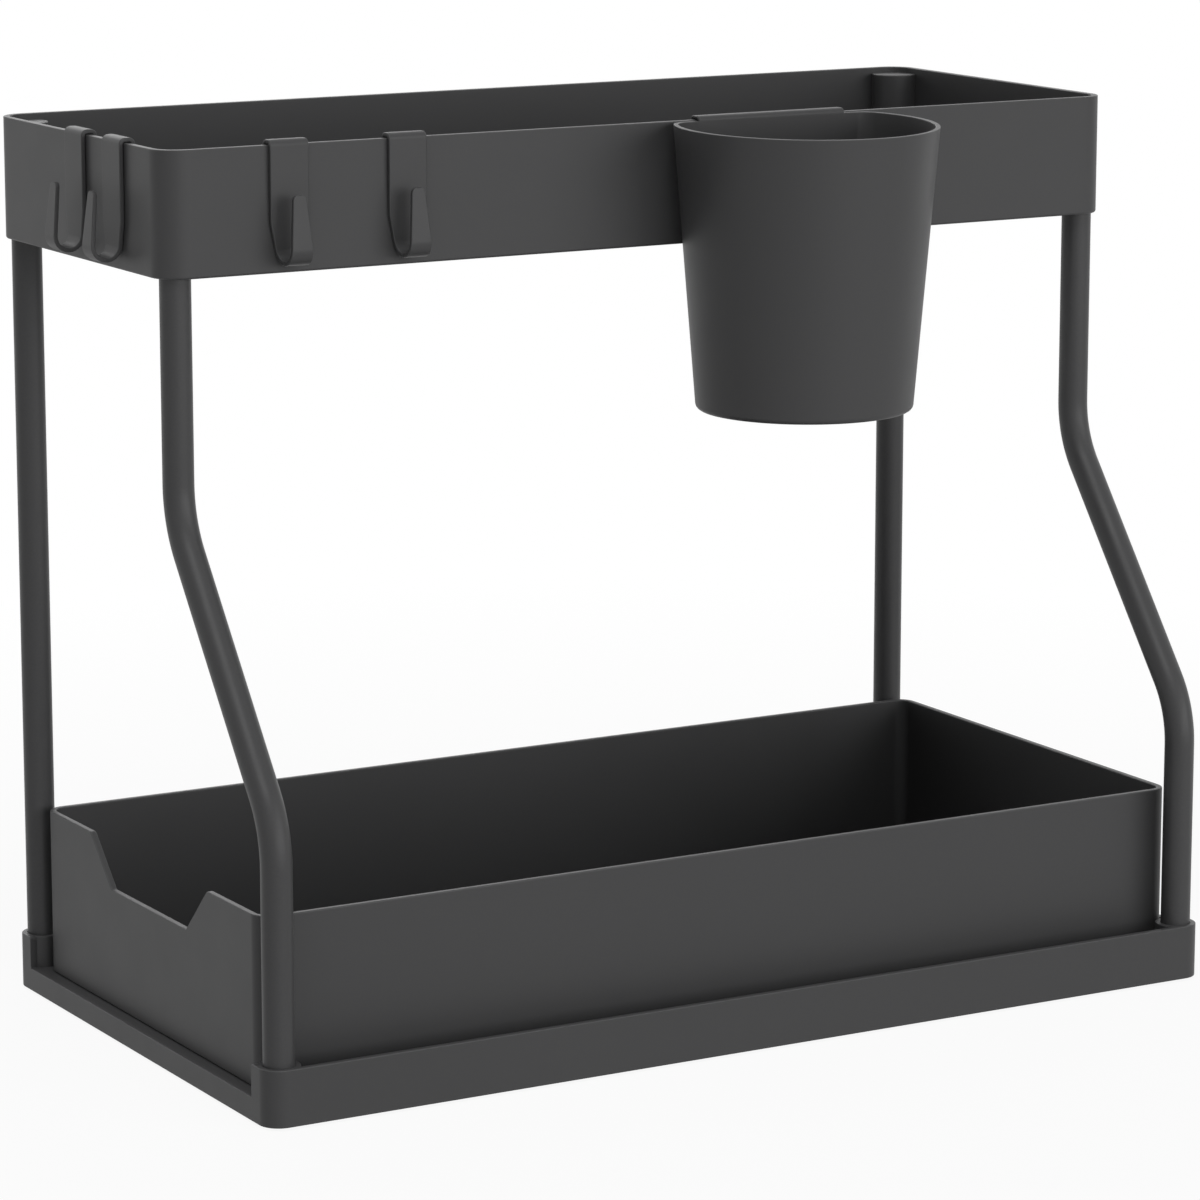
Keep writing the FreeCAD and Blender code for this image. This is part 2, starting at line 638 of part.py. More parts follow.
def hanging_cup():
    """Return the cup with its hanger lip over the front rim."""
    rim_z = -CUP_RIM_DROP
    bottom_z = rim_z - CUP_HEIGHT
    back_y = -HANG_CLEARANCE
    taper = (CUP_RIM_RADIUS - CUP_BOTTOM_RADIUS) / CUP_HEIGHT
    outer = Part.makeLoft([
        cup_profile(CUP_BOTTOM_RADIUS, back_y, CUP_CORNER, bottom_z),
        leaning(cup_profile(CUP_RIM_RADIUS, back_y, CUP_CORNER, rim_z), rim_z),
    ], True, True)
    outer = fillet_at(outer, bottom_z, CUP_FOOT_FILLET)
    floor_z = bottom_z + CUP_FLOOR
    over_z = rim_z + OVERCUT
    inner_back = back_y - CUP_WALL
    inner_corner = CUP_CORNER - CUP_WALL
    over_radius = CUP_RIM_RADIUS + taper * OVERCUT - CUP_WALL
    hollow = Part.makeLoft([
        cup_profile(CUP_BOTTOM_RADIUS + taper * CUP_FLOOR - CUP_WALL, inner_back, inner_corner, floor_z),
        leaning(cup_profile(over_radius, inner_back, inner_corner, over_z), over_z),
    ], True, True)
    shell = outer.cut(hollow)
    body = shell.makeFillet(CUP_RIM_FILLET, [edge for edge in shell.Edges if on_cup_rim(edge, rim_z)])

    half = HANGER_THICKNESS / 2
    outside = HANG_CLEARANCE + half
    inside = -TRAY_WALL - HANG_CLEARANCE - half
    top = HANG_CLEARANCE + half
    points = [
        Vector(inside, top - HANGER_LEG, 0),
        Vector(inside, top, 0),
        Vector(outside, top, 0),
        Vector(outside, rim_z - HANGER_LEG, 0),
    ]
    hanger = stood_up(strip_section(points, [HANGER_BEND, HANGER_BEND], HANGER_THICKNESS), HANGER_WIDTH)
    piece = body.fuse(hanger).removeSplitter()
    piece.translate(Vector(CUP_OFFSET, TRAY_FRONT_Y, TRAY_RIM_Z))
    return piece


def pieces():
    """Return every piece by its node name."""
    made = {
        "base_tray": base_tray(),
        "drawer": drawer(),
        "upper_tray": upper_tray(),
        "front_hook_left": front_hook(FRONT_HOOK_LEFT),
        "front_hook_right": front_hook(FRONT_HOOK_RIGHT),
        "side_hook_front": side_hook(SIDE_HOOK_FRONT),
        "side_hook_rear": side_hook(SIDE_HOOK_REAR),
        "hanging_cup": hanging_cup(),
    }
    for name in CORNERS:
        made[name + "_post"] = post(name)
        made[name + "_post_cap"] = post_cap(name)
        made[name + "_post_insert"] = post_insert(name)
        made[name + "_base_screw"] = base_screw(name)
    for name in foot_places():
        made[name + "_foot_pad"] = foot_pad(name)
    return made


def main():
    """Build every piece and write one STEP file for each."""
    os.makedirs("parts", exist_ok=True)
    for name, shape in pieces().items():
        solid = shape.Solids[0]
        print(name, len(shape.Solids), "solid, valid:", shape.isValid(), "mm3:", round(solid.Volume, 1))
        solid.exportStep(os.path.join("parts", name + ".step"))


main()
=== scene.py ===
"""Looks of the under sink organizer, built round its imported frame.

Sizes of the object are in millimetres in the part's own frame: +X along the length, -Y to the front
and +Z up, with the origin on the floor under the middle of the base. Meshes are made in metres, and the
studio and the camera are in metres too.
"""

import logging
import math
from abc import ABC, abstractmethod
from dataclasses import dataclass, field
from enum import Enum
from typing import Callable, Iterable, Sequence

import bmesh
import bpy
from mathutils import Matrix, Vector


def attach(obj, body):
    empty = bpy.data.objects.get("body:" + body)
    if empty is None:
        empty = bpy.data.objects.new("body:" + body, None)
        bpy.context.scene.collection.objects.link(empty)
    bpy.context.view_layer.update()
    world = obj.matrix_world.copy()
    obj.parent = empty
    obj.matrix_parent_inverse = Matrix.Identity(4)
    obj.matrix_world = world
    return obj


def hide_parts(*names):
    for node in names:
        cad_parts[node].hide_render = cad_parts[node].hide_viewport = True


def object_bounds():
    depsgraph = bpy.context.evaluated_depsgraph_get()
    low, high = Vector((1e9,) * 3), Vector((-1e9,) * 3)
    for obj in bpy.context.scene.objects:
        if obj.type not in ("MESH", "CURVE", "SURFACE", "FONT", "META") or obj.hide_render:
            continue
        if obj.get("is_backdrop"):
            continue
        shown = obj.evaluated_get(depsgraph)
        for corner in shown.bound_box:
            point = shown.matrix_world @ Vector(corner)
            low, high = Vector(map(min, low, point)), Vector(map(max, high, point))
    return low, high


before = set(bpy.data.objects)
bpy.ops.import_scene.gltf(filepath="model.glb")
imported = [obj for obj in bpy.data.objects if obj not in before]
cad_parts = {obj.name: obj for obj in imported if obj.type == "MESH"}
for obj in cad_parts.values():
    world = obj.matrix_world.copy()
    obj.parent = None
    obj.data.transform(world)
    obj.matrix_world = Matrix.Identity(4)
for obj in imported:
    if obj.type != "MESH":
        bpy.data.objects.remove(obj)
CAD_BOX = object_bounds()

LOG = logging.getLogger("organizer")
MM = 0.001
# Points that are nearer than this become one, in metres
WELD = 1e-6
# Edges that turn by more than this stay sharp
SHARP_ANGLE = math.radians(38)
# How far a cutting form runs past the face that it opens
OVERCUT = 1.0
# Chords in the rounding of a plain edge and of a small one
EDGE_STEPS = 4
SMALL_EDGE_STEPS = 3
# The mesh attribute that says how much painted highlight an edge gets: a lighter colour on rounded rims that
# stands in for light
PAINTED_HIGHLIGHT_ATTRIBUTE = "painted_highlight"
# The name of a mesh that another piece is carved with
CARVER = "carver"
# Where nearly all of a noise texture's values lie, and how strong its finer layers are
NOISE_LOW = 0.3
NOISE_HIGH = 0.7
NOISE_ROUGHNESS = 0.55
# Sockets of the mix node for colours, by place because its other modes use the same names
MIX_SHARE = 0
MIX_COLOURS = (6, 7)
MIX_RESULT = 2

Colour = tuple[float, float, float]
Flat = tuple[float, float]
Height = Callable[[float], float]
Placing = Callable[[float, float, float], Vector]
Piece = bpy.types.Object
Node = bpy.types.Node
Socket = bpy.types.NodeSocket


class Slot(str, Enum):
    """Material slots of the record."""

    MOULDED = "moulded_plastic"
    HOOK = "hook_plastic"
    CUP = "cup_plastic"
    TUBE = "coated_tube"
    PLUG = "plug_plastic"
    SCREW = "screw_steel"
    FOOT = "foot_rubber"


class Side(Enum):
    """Sides of an outline in the order of a walk round it, each after the corner of its number."""

    RIGHT = 0
    BACK = 1
    LEFT = 2
    FRONT = 3

    @property
    def start(self) -> float:
        """The angle at which the arc of the corner before the side starts, in radians."""
        return math.radians(90 * self.value - 90)


class Carve(str, Enum):
    """Ways to combine a piece with another mesh."""

    JOIN = "UNION"
    CUT = "DIFFERENCE"


class Rim(Enum):
    """Rims of the upper tray that a hook can hang over."""

    FRONT = "front"
    LEFT = "left"


def direction(angle: float) -> Vector:
    """Return the flat unit vector at an angle in radians from +X."""
    return Vector((math.cos(angle), math.sin(angle)))


def level(z: float) -> Height:
    """Return a height rule that gives the same level at every station."""
    return lambda rim: z


def below(drop: float, floor: float = -math.inf) -> Height:
    """Return a height rule that stays a drop below the rim, but not under the floor."""
    return lambda rim: max(rim - drop, floor)


@dataclass(frozen=True)
class LinePoint:
    """A point of a flat line and the line's direction there."""

    place: Vector
    way: Vector


def rounded_line(points: Sequence[Flat], radii: Sequence[float], steps: int) -> list[LinePoint]:
    """Round the inner corners of an open flat line.

    Args:
        points: The line's two ends and the corners between them.
        radii: The radius at each corner.
        steps: The number of chords in each arc.

    Returns:
        The points of the line, with its direction at each.
    """
    spots = [Vector(point) for point in points]
    line = [LinePoint(spots[0], (spots[1] - spots[0]).normalized())]
    for i, radius in enumerate(radii, start=1):
        arriving = (spots[i] - spots[i - 1]).normalized()
        leaving = (spots[i + 1] - spots[i]).normalized()
        turn = math.atan2(arriving.x * leaving.y - arriving.y * leaving.x, arriving.dot(leaving))
        spoke = Vector((arriving.y, -arriving.x)) * math.copysign(radius, turn)
        centre = spots[i] - arriving * (radius * math.tan(abs(turn) / 2)) - spoke
        for k in range(steps + 1):
            swing = Matrix.Rotation(turn * k / steps, 2)
            line.append(LinePoint(centre + swing @ spoke, swing @ arriving))
    line.append(LinePoint(spots[-1], (spots[-1] - spots[-2]).normalized()))
    return line


def dipped_rim(ends: float, top: Flat, bottom: Flat, radii: Flat, steps: int) -> list[Flat]:
    """Draw the rim of a side that dips in the middle, from +Y to -Y.

    Args:
        ends: How far from the middle the rim starts and stops.
        top: Half the dip's width at its top, and the height there.
        bottom: Half the dip's width at its bottom, and the height there.
        radii: The radii of the dip's shoulders and of its bottom corners.
        steps: The number of chords in each arc.

    Returns:
        The stations between the ends, each a place along the side and the rim's height there.
    """
    half = [(ends, top[1]), top, bottom]
    corners = half + [(-along, z) for along, z in half[::-1]]
    line = rounded_line(corners, [*radii, *radii[::-1]], steps)[1:-1]
    return [(point.place.x, point.place.y) for point in line]


def quarter(radius: float, steps: int = EDGE_STEPS) -> list[Flat]:
    """Divide a rounded edge into chords.

    Args:
        radius: The edge's radius.
        steps: The number of chords.

    Returns:
        Pairs of how far the edge has drawn in and how far it has still to rise, first to last.
    """
    turns = [math.pi / 2 * i / steps for i in range(steps + 1)]
    return [(radius * (1 - math.cos(a)), radius * (1 - math.sin(a))) for a in turns]


def lip(wall: float, radius: float) -> list[tuple[float, float, float]]:
    """Divide the rounded top of a wall into chords, from its outer face to its inner face.

    Args:
        wall: The wall's thickness.
        radius: The radius of its two edges.

    Returns:
        For each point how far it is inside the outer face, how far under the top, and its share of painted
        highlight.
    """
    # Every point of the rounding but the first gets the painted highlight
    edge = [(drawn, rise, float(drawn > 0)) for drawn, rise in quarter(radius)]
    return edge + [(wall - drawn, rise, painted_highlight) for drawn, rise, painted_highlight in edge[::-1]]


@dataclass(frozen=True)
class Outline:
    """A rounded rectangle, walked counter-clockwise from its front right corner.

    A side can have extra stations, each a place along the side and the rim's height there.
    """

    x0: float
    x1: float
    y0: float
    y1: float
    corner: float
    rim: float
    steps: int = 10
    runs: dict[Side, list[Flat]] = field(default_factory=dict)

    def centre(self, side: Side, inset: float) -> Vector:
        """Find the point that is inset from both sides of a corner.

        Args:
            side: The side that comes after the corner.
            inset: How far inside the outline the point is.

        Returns:
            The point.
        """
        x = self.x1 - inset if side in (Side.RIGHT, Side.BACK) else self.x0 + inset
        y = self.y1 - inset if side in (Side.BACK, Side.LEFT) else self.y0 + inset
        return Vector((x, y))

    def run(self, side: Side, inset: float, height: Height, margin: float = 0.0) -> list[Vector]:
        """Place a side's extra stations.

        Args:
            side: The side.
            inset: How far inside the outline they stand.
            height: The rule from rim height to level.
            margin: How far they keep from both ends of the side.

        Returns:
            The stations' points in the order of the walk.
        """
        points = []
        for along, rim in self.runs.get(side, []):
            if side in (Side.RIGHT, Side.LEFT):
                y = min(max(along, self.y0 + margin), self.y1 - margin)
                x = self.x1 - inset if side is Side.RIGHT else self.x0 + inset
            else:
                x = min(max(along, self.x0 + margin), self.x1 - margin)
                y = self.y1 - inset if side is Side.BACK else self.y0 + inset
            points.append(Vector((x, y, height(rim))))
        return points

    def ring(self, inset: float, height: Height, lead: float = 0.0) -> list[Vector]:
        """Walk the outline once, drawn in by an inset.

        Args:
            inset: How far inside the outline the walk stays.
            height: The rule from rim height to level.
            lead: How far from each corner's arc the stations before and after it stand.

        Returns:
            The ring's points.
        """
        points = []
        z = height(self.rim)
        for side in Side:
            middle = self.centre(side, self.corner)
            turns = [side.start + math.pi / 2 * i / self.steps for i in range(self.steps + 1)]
            arc = [middle + direction(turn) * (self.corner - inset) for turn in turns]
            first = arc[0] - direction(side.start + math.pi / 2) * lead
            last = arc[-1] + direction(side.start + math.pi) * lead
            points += [Vector((*spot, z)) for spot in (first, *arc, last)]
            points += self.run(side, inset, height)
        return points

    def bossed_ring(self, wall: float, axis: float, radius: float, height: Height) -> list[Vector]:
        """Walk the inside of the walls once, round a boss in each corner.

        Args:
            wall: How far inside the outline the walls' inner faces are.
            axis: How far inside both sides each boss has its axis.
            radius: The bosses' radius.
            height: The rule from rim height to level.

        Returns:
            The ring's points, as many as ring gives.
        """
        points = []
        z = height(self.rim)
        swing = math.acos((axis - wall) / radius)
        sweep = 1.5 * math.pi - 2 * swing
        count = self.steps + 2
        for side in Side:
            middle = self.centre(side, axis)
            for i in range(count + 1):
                spoke = direction(side.start - swing - sweep * i / count) * radius
                points.append(Vector((*(middle + spoke), z)))
            points += self.run(side, wall, height, axis + radius * math.sin(swing))
        return points


class Skin:
    """A closed skin of faces through a row of rings that have equal numbers of points."""

    def __init__(self) -> None:
        """Start with no rings."""
        self.rings: list[list[Vector]] = []
        self.painted_highlight: list[float] = []

    def add(self, ring: list[Vector], painted_highlight: float = 0.0) -> None:
        """Add the next ring, in millimetres, with how much painted highlight an edge along it gets, from 0 to
        1.
        """
        self.rings.append(ring)
        self.painted_highlight.append(painted_highlight)

    def piece(self, name: str, looped: bool = False) -> Piece:
        """Stretch the skin over the rings.

        Args:
            name: The new piece's name.
            looped: Whether the last ring joins the first; otherwise both get a flat end.

        Returns:
            The piece, linked to the scene.
        """
        made = bmesh.new()
        # Each point carries its share of painted highlight, the lighter colour on rim edges
        highlight_paint = made.verts.layers.float.new(PAINTED_HIGHLIGHT_ATTRIBUTE)
        rows = []
        for ring, painted_highlight in zip(self.rings, self.painted_highlight):
            row = [made.verts.new(point * MM) for point in ring]
            for vertex in row:
                vertex[highlight_paint] = painted_highlight
            rows.append(row)
        pairs = list(zip(rows, rows[1:]))
        if looped:
            pairs.append((rows[-1], rows[0]))
        else:
            made.faces.new(rows[0][::-1])
            made.faces.new(rows[-1])
        for low, high in pairs:
            for i in range(len(low)):
                made.faces.new((low[i - 1], low[i], high[i], high[i - 1]))
        weld(made)
        bmesh.ops.recalc_face_normals(made, faces=made.faces)
        return linked(name, made)


def weld(made: bmesh.types.BMesh) -> None:
    """Join points that lie on one another and take out faces without area."""
    bmesh.ops.remove_doubles(made, verts=made.verts, dist=WELD)
    bmesh.ops.dissolve_degenerate(made, edges=made.edges, dist=WELD)


def linked(name: str, made: bmesh.types.BMesh) -> Piece:
    """Put a finished bmesh into the scene.

    Args:
        name: The new object's name.
        made: The bmesh, which is freed.

    Returns:
        The object.
    """
    mesh = bpy.data.meshes.new(name)
    made.to_mesh(mesh)
    made.free()
    piece = bpy.data.objects.new(name, mesh)
    bpy.context.scene.collection.objects.link(piece)
    return piece


def block(x: Flat, y: Flat, z: Flat) -> Piece:
    """Make a box that another piece is carved with.

    Args:
        x: Where it starts and stops along X.
        y: Where it starts and stops along Y.
        z: Its bottom and its top.

    Returns:
        The box.
    """
    skin = Skin()
    for height in z:
        corners = ((x[0], y[0]), (x[1], y[0]), (x[1], y[1]), (x[0], y[1]))
        skin.add([Vector((*corner, height)) for corner in corners])
    return skin.piece(CARVER)


def drum(centre: Flat, stages: Sequence[Flat], count: int = 48) -> Piece:
    """Make an upright turned form that another piece is carved with.

    Args:
        centre: Where its axis is.
        stages: Its radius and height at each step of its profile, from the bottom up.
        count: The number of sides.

    Returns:
        The form.
    """
    skin = Skin()
    axis = Vector(centre)
    spokes = [direction(math.tau * i / count) for i in range(count)]
    for radius, z in stages:
        skin.add([Vector((*(axis + spoke * radius), z)) for spoke in spokes])
    return skin.piece(CARVER)


def carve(piece: Piece, tools: Iterable[Piece], how: Carve) -> None:
    """Join meshes to a piece or cut them from it, and delete them.

    Args:
        piece: The piece that changes.
        tools: The other meshes.
        how: Whether they are joined or cut.
    """
    used = list(tools)
    for tool in used:
        step = piece.modifiers.new("carve", "BOOLEAN")
        step.operation = how.value
        step.solver = "EXACT"
        step.object = tool
    graph = bpy.context.evaluated_depsgraph_get()
    carved = bpy.data.meshes.new_from_object(piece.evaluated_get(graph))
    made = bmesh.new()
    made.from_mesh(carved)
    weld(made)
    made.to_mesh(carved)
    made.free()
    piece.modifiers.clear()
    plain = piece.data
    piece.data = carved
    bpy.data.meshes.remove(plain)
    for tool in used:
        bpy.data.meshes.remove(tool.data)


class Board:
    """A node tree, with short ways to add to it."""

    def __init__(self, tree: bpy.types.NodeTree) -> None:
        """Take over a tree and empty it."""
        self.tree = tree
        tree.nodes.clear()

    def add(self, kind: str, **values: object) -> Node:
        """Add a node.

        Args:
            kind: The node's type.
            values: Its settings, and its inputs by their names with underscores for spaces.

        Returns:
            The node.
        """
        node = self.tree.nodes.new(kind)
        for name, value in values.items():
            if hasattr(node, name):
                setattr(node, name, value)
            else:
                node.inputs[name.replace("_", " ")].default_value = value
        return node

    def link(self, source: Socket, target: Socket) -> None:
        """Join an output to an input."""
        self.tree.links.new(source, target)

    def noise(self, place: Socket, scale: float, detail: float) -> Socket:
        """Add a noise texture.

        Args:
            place: The coordinates, in metres.
            scale: How many patches there are to a metre.
            detail: How many finer layers it has.

        Returns:
            The noise, from 0 to 1.
        """
        node = self.add("ShaderNodeTexNoise", Scale=scale, Detail=detail, Roughness=NOISE_ROUGHNESS)
        self.link(place, node.inputs["Vector"])
        return node.outputs["Fac"]

    def spread(self, source: Socket, low: Flat, high: Flat) -> Socket:
        """Map a value from one range to another.

        Args:
            source: The value.
            low: Where the first range starts and what that becomes.
            high: Where the first range ends and what that becomes.

        Returns:
            The new value.
        """
        node = self.add(
            "ShaderNodeMapRange", From_Min=low[0], To_Min=low[1], From_Max=high[0], To_Max=high[1]
        )
        self.link(source, node.inputs["Value"])
        return node.outputs["Result"]

    def patches(self, place: Socket, scale: float, detail: float, ends: Flat = (0.0, 1.0)) -> Socket:
        """Add a noise texture that is stretched to a range.

        Args:
            place: The coordinates, in metres.
            scale: How many patches there are to a metre.
            detail: How many finer layers it has.
            ends: The range.

        Returns:
            The stretched noise.
        """
        low, high = ends
        return self.spread(self.noise(place, scale, detail), (NOISE_LOW, low), (NOISE_HIGH, high))

    def blend(self, share: Socket, first: object, second: object) -> Socket:
        """Blend two colours.

        Args:
            share: How much of the second colour shows.
            first: A colour or an output.
            second: A colour or an output.

        Returns:
            The blended colour.
        """
        node = self.add("ShaderNodeMix", data_type="RGBA")
        self.link(share, node.inputs[MIX_SHARE])
        for place, colour in zip(MIX_COLOURS, (first, second)):
            if isinstance(colour, Socket):
                self.link(colour, node.inputs[place])
            else:
                node.inputs[place].default_value = (*colour, 1.0)
        return node.outputs[MIX_RESULT]

    def combine(self, operation: str, first: Socket, second: Socket) -> Socket:
        """Combine two values.

        Args:
            operation: What is done with them.
            first: One value.
            second: The other value.

        Returns:
            The result.
        """
        node = self.add("ShaderNodeMath", operation=operation)
        self.link(first, node.inputs[0])
        self.link(second, node.inputs[1])
        return node.outputs[0]

    def emboss(self, shader: Node, height: Socket, strength: float, relief: float) -> None:
        """Give a shader's surface a fine relief.

        Args:
            shader: The shader.
            height: The relief's height, from 0 to 1.
            strength: How strongly it shows, from 0 to 1.
            relief: How high it stands at most, in metres.
        """
        node = self.add("ShaderNodeBump", Strength=strength, Distance=relief)
        self.link(height, node.inputs["Height"])
        self.link(node.outputs["Normal"], shader.inputs["Normal"])

    def painted_highlight_mask(self) -> Socket:
        """Return the share of painted highlight on the surface, from the mesh."""
        return self.add("ShaderNodeAttribute", attribute_name=PAINTED_HIGHLIGHT_ATTRIBUTE).outputs["Fac"]


@dataclass(frozen=True)
class Finish(ABC):
    """A finish: its name, the slot that it takes in the record, its main colour and its roughness."""

    name: str
    slot: Slot
    colour: Colour
    roughness: float
    uneven: float

    @property
    def span(self) -> Flat:
        """The least and the greatest roughness."""
        return (self.roughness - self.uneven, self.roughness + self.uneven)

    def material(self) -> bpy.types.Material:
        """Make the finish's material at its first use.

        Returns:
            The material, the same one each time.
        """
        ready = bpy.data.materials.get(self.name)
        if ready is not None:
            return ready
        made = bpy.data.materials.new(self.name)
        made.use_nodes = True
        board = Board(made.node_tree)
        shader = board.add("ShaderNodeBsdfPrincipled")
        out = board.add("ShaderNodeOutputMaterial")
        board.link(shader.outputs["BSDF"], out.inputs["Surface"])
        place = board.add("ShaderNodeTexCoord").outputs["Object"]
        self.wire(board, shader, place)
        return made

    def tint(self, share: float) -> Colour:
        """Return the main colour made lighter or darker by a share of itself."""
        return tuple(part * (1 + share) for part in self.colour)

    @abstractmethod
    def wire(self, board: Board, shader: Node, place: Socket) -> None:
        """Wire the finish's own nodes.

        Args:
            board: The material's tree.
            shader: Its main shader.
            place: The piece's own coordinates, in metres.
        """


@dataclass(frozen=True)
class GrainedPlastic(Finish):
    """Moulded plastic with the fine grain of an eroded mould, and a painted highlight on its rounded rim
    edges.
    """

    roughness: float = 0.45
    uneven: float = 0.02
    gloss: float = 0.2
    gloss_patches: float = 55.0
    clouds: float = 9.0
    mottle: float = 0.025
    grain: float = 1900.0
    grain_strength: float = 0.035
    grain_relief: float = 0.0003
    speckle_share: float = 0.6
    # The painted highlight on rim edges: its greatest share, and how much lighter than the main colour it is
    highlight_paint: float = 0.22
    highlight_tint: float = 1.4

    def wire(self, board: Board, shader: Node, place: Socket) -> None:
        """Wire mottled colour, uneven gloss, a painted highlight on rim edges and the grain.

        Args:
            board: The material's tree.
            shader: Its main shader.
            place: The piece's own coordinates, in metres.
        """
        cloudy = board.patches(place, self.clouds, detail=3.0)
        speckle = board.patches(place, self.grain * self.speckle_share, detail=2.0)
        flow = board.blend(cloudy, self.tint(-self.mottle), self.tint(self.mottle))
        dotted = board.blend(speckle, self.tint(-self.mottle), flow)
        # Rim edges are painted lighter, a painted highlight that stands in for light on the rims
        highlight_share = board.spread(board.painted_highlight_mask(), (0.0, 0.0), (1.0, self.highlight_paint))
        board.link(board.blend(highlight_share, dotted, self.tint(self.highlight_tint)), shader.inputs["Base Color"])
        sheen = board.patches(place, self.gloss_patches, detail=4.0, ends=self.span)
        board.link(sheen, shader.inputs["Roughness"])
        shader.inputs["Specular IOR Level"].default_value = self.gloss
        grain = board.noise(place, self.grain, detail=3.0)
        board.emboss(shader, grain, self.grain_strength, self.grain_relief)


@dataclass(frozen=True)
class PowderCoat(Finish):
    """Powder coat on tube, with the slight waviness of baked paint."""

    roughness: float = 0.4
    uneven: float = 0.04
    gloss: float = 0.2
    gloss_patches: float = 80.0
    mottle: float = 0.04
    peel: float = 420.0
    peel_strength: float = 0.05
    peel_relief: float = 0.0003
    speckle_share: float = 3.0

    def wire(self, board: Board, shader: Node, place: Socket) -> None:
        """Wire the coat's colour, gloss and waviness.

        Args:
            board: The material's tree.
            shader: Its main shader.
            place: The piece's own coordinates, in metres.
        """
        speckle = board.patches(place, self.peel * self.speckle_share, detail=2.0)
        dotted = board.blend(speckle, self.tint(-self.mottle), self.tint(self.mottle))
        board.link(dotted, shader.inputs["Base Color"])
        sheen = board.patches(place, self.gloss_patches, detail=3.0, ends=self.span)
        board.link(sheen, shader.inputs["Roughness"])
        shader.inputs["Specular IOR Level"].default_value = self.gloss
        peel = board.noise(place, self.peel, detail=4.0)
        board.emboss(shader, peel, self.peel_strength, self.peel_relief)


@dataclass(frozen=True)
class PlatedSteel(Finish):
    """Zinc-plated steel with turning marks."""

    roughness: float = 0.34
    uneven: float = 0.08
    clouds: float = 900.0
    dull_tint: float = -0.12
    bright_tint: float = 0.08
    marks: float = 2600.0
    mark_waver: float = 1.5
    mark_strength: float = 0.1
    mark_relief: float = 0.0001

    def wire(self, board: Board, shader: Node, place: Socket) -> None:
        """Wire the plating's patches and the marks of the lathe.

        Args:
            board: The material's tree.
            shader: Its main shader.
            place: The piece's own coordinates, in metres.
        """
        cloudy = board.patches(place, self.clouds, detail=3.0)
        plating = board.blend(cloudy, self.tint(self.dull_tint), self.tint(self.bright_tint))
        board.link(plating, shader.inputs["Base Color"])
        shader.inputs["Metallic"].default_value = 1.0
        low, high = self.span
        board.link(board.spread(cloudy, (0.0, low), (1.0, high)), shader.inputs["Roughness"])
        marks = board.add(
            "ShaderNodeTexWave", Scale=self.marks, Distortion=self.mark_waver, Detail=2.0, bands_direction="Z"
        )
        board.link(place, marks.inputs["Vector"])
        board.emboss(shader, marks.outputs["Fac"], self.mark_strength, self.mark_relief)


@dataclass(frozen=True)
class FootRubber(Finish):
    """Matt rubber with a dusty bloom."""

    roughness: float = 0.82
    uneven: float = 0.06
    bloom: float = 260.0
    bloom_start: float = 0.35
    bloom_tint: float = 0.5
    press: float = 1500.0
    press_strength: float = 0.15
    press_relief: float = 0.0002

    def wire(self, board: Board, shader: Node, place: Socket) -> None:
        """Wire the bloom and the pressed surface.

        Args:
            board: The material's tree.
            shader: Its main shader.
            place: The piece's own coordinates, in metres.
        """
        dust = board.noise(place, self.bloom, detail=4.0)
        bloom = board.spread(dust, (self.bloom_start, 0.0), (NOISE_HIGH, 1.0))
        board.link(board.blend(bloom, self.colour, self.tint(self.bloom_tint)), shader.inputs["Base Color"])
        low, high = self.span
        board.link(board.spread(bloom, (0.0, low), (1.0, high)), shader.inputs["Roughness"])
        pressed = board.noise(place, self.press, detail=2.0)
        board.emboss(shader, pressed, self.press_strength, self.press_relief)


CHARCOAL: Colour = (0.055, 0.055, 0.056)
TRAY_PLASTIC = GrainedPlastic("charcoal_grained_plastic", Slot.MOULDED, CHARCOAL)
HOOK_PLASTIC = GrainedPlastic("charcoal_hook_plastic", Slot.HOOK, CHARCOAL, grain=2300.0)
CUP_PLASTIC = GrainedPlastic("charcoal_cup_plastic", Slot.CUP, CHARCOAL, grain=2100.0)
TUBE_COAT = PowderCoat("charcoal_powder_coat", Slot.TUBE, CHARCOAL)
PLUG_PLASTIC = GrainedPlastic("black_plug_plastic", Slot.PLUG, (0.028, 0.028, 0.028), roughness=0.55)
SCREW_STEEL = PlatedSteel("plated_screw_steel", Slot.SCREW, (0.62, 0.62, 0.6))
FOOT_RUBBER = FootRubber("black_foot_rubber", Slot.FOOT, (0.026, 0.026, 0.026))


@dataclass
class Assembly(ABC):
    """A sub-assembly that makes its pieces and dresses them."""

    body: str

    @abstractmethod
    def build(self) -> list[Piece]:
        """Make and dress the pieces, and return them."""

    def dress(self, piece: Piece, finish: Finish, node: str) -> Piece:
        """Smooth a piece, finish it and put it in the place of its CAD node.

        Args:
            piece: The piece.
            finish: Its finish.
            node: The CAD node that it stands for.

        Returns:
            The piece.
        """
        piece.data.shade_smooth()
        piece.data.set_sharp_from_angle(angle=SHARP_ANGLE)
        even = piece.modifiers.new("even_shading", "WEIGHTED_NORMAL")
        even.keep_sharp = True
        piece.data.materials.clear()
        piece.data.materials.append(finish.material())
        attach(piece, self.body)
        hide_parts(node)
        LOG.info("%s: %d faces, on %s", piece.name, len(piece.data.polygons), self.body)
        return piece


@dataclass(frozen=True)
class PostPlaces:
    """Where the posts stand in the base and in the upper tray."""

    x: float = 192.2
    y: float = 102.2
    head_front_y: float = -27.7
    foot_z: float = 6.2
    head_z: float = 327.1
    socket_radius: float = 5.8

    def feet(self) -> dict[str, Flat]:
        """Return each post's place in the base, by the post's name."""
        return {
            "rear_left": (-self.x, self.y),
            "rear_right": (self.x, self.y),
            "front_left": (-self.x, -self.y),
            "front_right": (self.x, -self.y),
        }

    def heads(self) -> dict[str, Flat]:
        """Return each post's place in the upper tray, by the post's name."""
        return {
            name: (x, y if name.startswith("rear") else self.head_front_y)
            for name, (x, y) in self.feet().items()
        }


